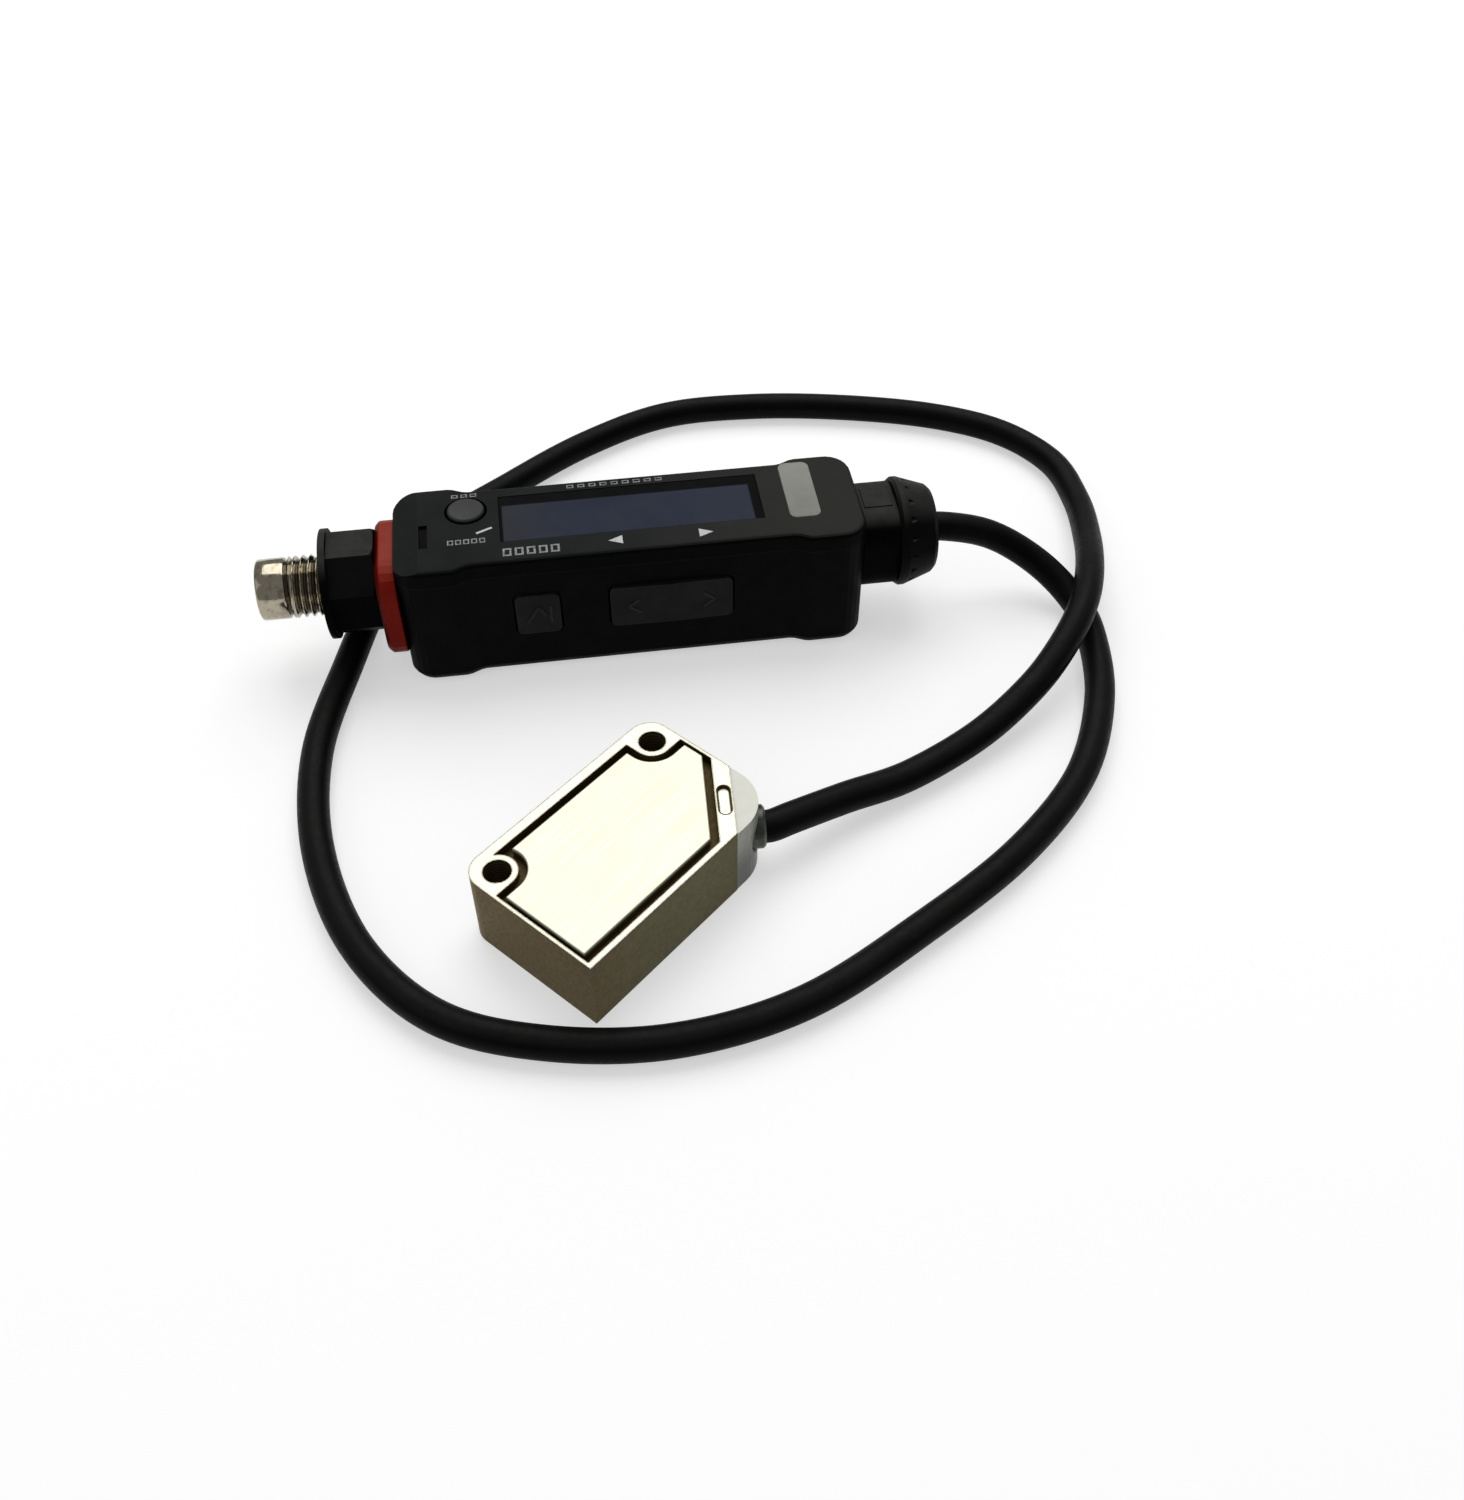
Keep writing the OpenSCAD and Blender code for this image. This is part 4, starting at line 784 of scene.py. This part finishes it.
def turned_piece(name, profile, sides):
    """A closed turned wall along the amplifier's axis, with the thread cut where it is marked."""
    points, faces = [], []
    for x, r, cut in profile:
        for k in range(sides):
            turn = k / sides
            radius = r - (thread_depth(x, turn) if cut else 0.0)
            a = 2 * math.pi * turn
            points.append(on_case(x, radius * math.cos(a), axis_high + radius * math.sin(a)))
    rows = len(profile)
    for j in range(rows):
        for k in range(sides):
            a, b = j * sides + k, j * sides + (k + 1) % sides
            c, d = ((j + 1) % rows) * sides + (k + 1) % sides, ((j + 1) % rows) * sides + k
            faces.append((a, b, c, d))
    mesh = bpy.data.meshes.new(name)
    mesh.from_pydata(points, [], faces)
    shape = bmesh.new()
    shape.from_mesh(mesh)
    bmesh.ops.recalc_face_normals(shape, faces=shape.faces)
    for f in shape.faces:
        f.smooth = True
    shape.to_mesh(mesh)
    shape.free()
    o = bpy.data.objects.new(name, mesh)
    bpy.context.scene.collection.objects.link(o)
    return o


plug = turned_piece("plug_shell", plug_profile(), 96)
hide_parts("connector_shell")
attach(plug, "base")
keep_edges = plug.modifiers.new("keep_edges", "EDGE_SPLIT")
keep_edges.split_angle = math.radians(38)
print("plug faces:", len(plug.data.polygons))

# %% Nickel plating
nickel = Finish("nickel_plating", metal=1.0, on_amplifier=True)
y, z = nickel.axes()[1:3]
rings = nickel.noise(0.12, detail=3.0, stretch=(1.0, 0.05, 0.05))
cloud = nickel.noise(1.6)
tone = nickel.blend(cloud, paint(146, 138, 120), paint(186, 178, 160))
# brown mottles: part tarnish, part painted dark reflection
tone = nickel.blend(nickel.ramp(nickel.noise(0.9, detail=5.0), 0.5, 0.66, 0.0, 0.4), tone, paint(88, 76, 60))
# painted shade: the bore, the groove and the roots of the thread are painted dark brown
above = nickel.math("SUBTRACT", z, axis_high)
radius = nickel.length(y, above)
tone = nickel.blend(nickel.ramp(radius, 3.5, 3.85, 1.0, 0.0), tone, paint(58, 50, 36))
nickel.colour(tone)
nickel.roughness(nickel.ramp(rings, 0.3, 0.7, 0.08, 0.17))
nickel.grain((rings, 0.004), (cloud, 0.006))
plug.data.materials.append(nickel.mat)
print("nickel ready")

# %% [markdown]
# ## Printed marks
# White marks are pad printed on the cover: two arrow heads below the display and a
# stroke that points to the round button. Short legends stand by the button, below the
# display and along the far edge. They are kept generic here, as rows of small hollow
# blocks in a greyer, worn ink. Ink has a thickness, so the marks are very thin solid
# shapes that sit in the cover's surface and stay sharp from any side.

# %% Thin flat shapes
def flat_shape(name, outlines, to_world, thick, body, finish):
    """Outlines in millimetres on a plane, as thin solid shapes. to_world places the plane."""
    rooted = 0.02
    shape = bmesh.new()
    for outline in outlines:
        low = [shape.verts.new(to_world @ Vector((x, y, -rooted))) for x, y in outline]
        high = [shape.verts.new(to_world @ Vector((x, y, thick))) for x, y in outline]
        shape.faces.new(high)
        shape.faces.new(list(reversed(low)))
        n = len(outline)
        for i in range(n):
            shape.faces.new((low[i], low[(i + 1) % n], high[(i + 1) % n], high[i]))
    bmesh.ops.recalc_face_normals(shape, faces=shape.faces)
    mesh = bpy.data.meshes.new(name)
    shape.to_mesh(mesh)
    shape.free()
    mesh.materials.append(finish.mat)
    o = bpy.data.objects.new(name, mesh)
    bpy.context.scene.collection.objects.link(o)
    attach(o, body)


def bar(x0, y0, x1, y1, wide):
    """A short straight stroke from one point to another."""
    a, b = Vector((x0, y0)), Vector((x1, y1))
    side = (b - a).orthogonal().normalized() * wide / 2
    return [tuple(a + side), tuple(a - side), tuple(b - side), tuple(b + side)]


cover_top = case_to_world @ Matrix.Translation((0, 0, cover_high))
ink_thick, stroke = 0.02, 0.34
print("marks are drawn in mm on the cover's top")

# %% Ink and the marks on the cover
ink = Finish("white_ink", on_amplifier=True).set(Specular_IOR_Level=0.3)
worn = ink.noise(0.35, detail=5.0)
ink.colour(ink.blend(ink.ramp(worn, 0.58, 0.72), paint(212, 214, 214), paint(120, 124, 126)))
ink.roughness(ink.ramp(worn, 0.3, 0.7, 0.5, 0.65))
ink.grain((worn, 0.003))
arrows = [[(27.0, -5.3), (28.8, -4.5), (28.8, -6.1)], [(40.3, -5.4), (38.5, -6.2), (38.5, -4.6)]]
pointer = bar(10.6, -1.5, 12.6, -0.6, stroke)
flat_shape("arrow_marks", arrows + [pointer], cover_top, ink_thick, "base", ink)

faded = Finish("grey_ink", on_amplifier=True).set(Specular_IOR_Level=0.3)
worn = faded.noise(0.3, detail=5.0)
faded.colour(faded.blend(faded.ramp(worn, 0.45, 0.7), paint(158, 160, 160), paint(76, 80, 80)))
faded.roughness(faded.ramp(worn, 0.3, 0.7, 0.5, 0.65))
faded.grain((worn, 0.003))


def blocks(x, y, count, step, size, wide):
    """A row of small hollow blocks, each made from four strokes."""
    made, half, rise = [], size[0] / 2, size[1] / 2
    low, high = y - rise + wide / 2, y + rise - wide / 2
    for i in range(count):
        c = x + i * step
        made += [bar(c - half, row, c + half, row, wide) for row in (y + rise, y - rise)]
        made += [bar(post, low, post, high, wide) for post in (wide / 2 - half + c, half - wide / 2 + c)]
    return made


legends = {
    "legend_marks": blocks(14.3, -5.75, 5, 1.5, (1.1, 1.2), 0.26),
    "button_marks": blocks(7.3, -2.95, 5, 1.0, (0.75, 0.75), 0.16)
    + blocks(8.05, 6.36, 3, 1.2, (0.85, 0.5), 0.15),
    "far_marks": blocks(23.0, 6.35, 9, 1.45, (0.9, 0.5), 0.15),
}
for name, legend in legends.items():
    flat_shape(name, legend, cover_top, ink_thick, "base", faded)
print("strokes and arrow heads:", len(arrows) + 1 + sum(map(len, legends.values())))

# %% [markdown]
# ## Symbols on the side buttons
# The side buttons carry low raised symbols that a finger can feel: a turned-back
# arrow on the square one and an arrow head at each end of the rocker. They are
# moulded with the button, so they ride with it; fingers have worn them paler.

# %% Raised symbols
def side_face(x, y_out, lean=0.0):
    """The plane of a side button: along the case, upwards, and out of the side."""
    turn = Matrix.Rotation(math.pi / 2, 4, "X") @ Matrix.Rotation(lean, 4, "Y")
    return case_to_world @ Matrix.Translation((x, y_out, 9.9)) @ turn


raised = 0.1
mode_sign = [bar(-1.5, -1.2, 0.1, 1.2, stroke), bar(0.1, 1.2, 1.0, -0.2, stroke),
             bar(1.6, -1.4, 1.6, 1.4, stroke)]
flat_shape("mode_symbol", mode_sign, side_face(17.3, -7.95), raised, "mode", sign_skin)

# the rocker's face is a shallow roof: highest in its middle, 0.2 mm lower at its ends
rocker_x, rocker_y, rocker_half, roof = 34.5, -8.15, 7.9, 0.2
tilt = math.atan(roof / rocker_half)
for name, x, way in (("rocker_symbol_left", 29.6, -1), ("rocker_symbol_right", 39.4, 1)):
    strokes = [bar(-0.8 * way, 1.1, 0.7 * way, 0.0, stroke), bar(0.7 * way, 0.0, -0.8 * way, -1.1, stroke)]
    y_out = rocker_y + roof * abs(x - rocker_x) / rocker_half
    flat_shape(name, strokes, side_face(x, y_out, way * tilt), raised, "rocker", sign_skin)
print("raised symbols: 3")
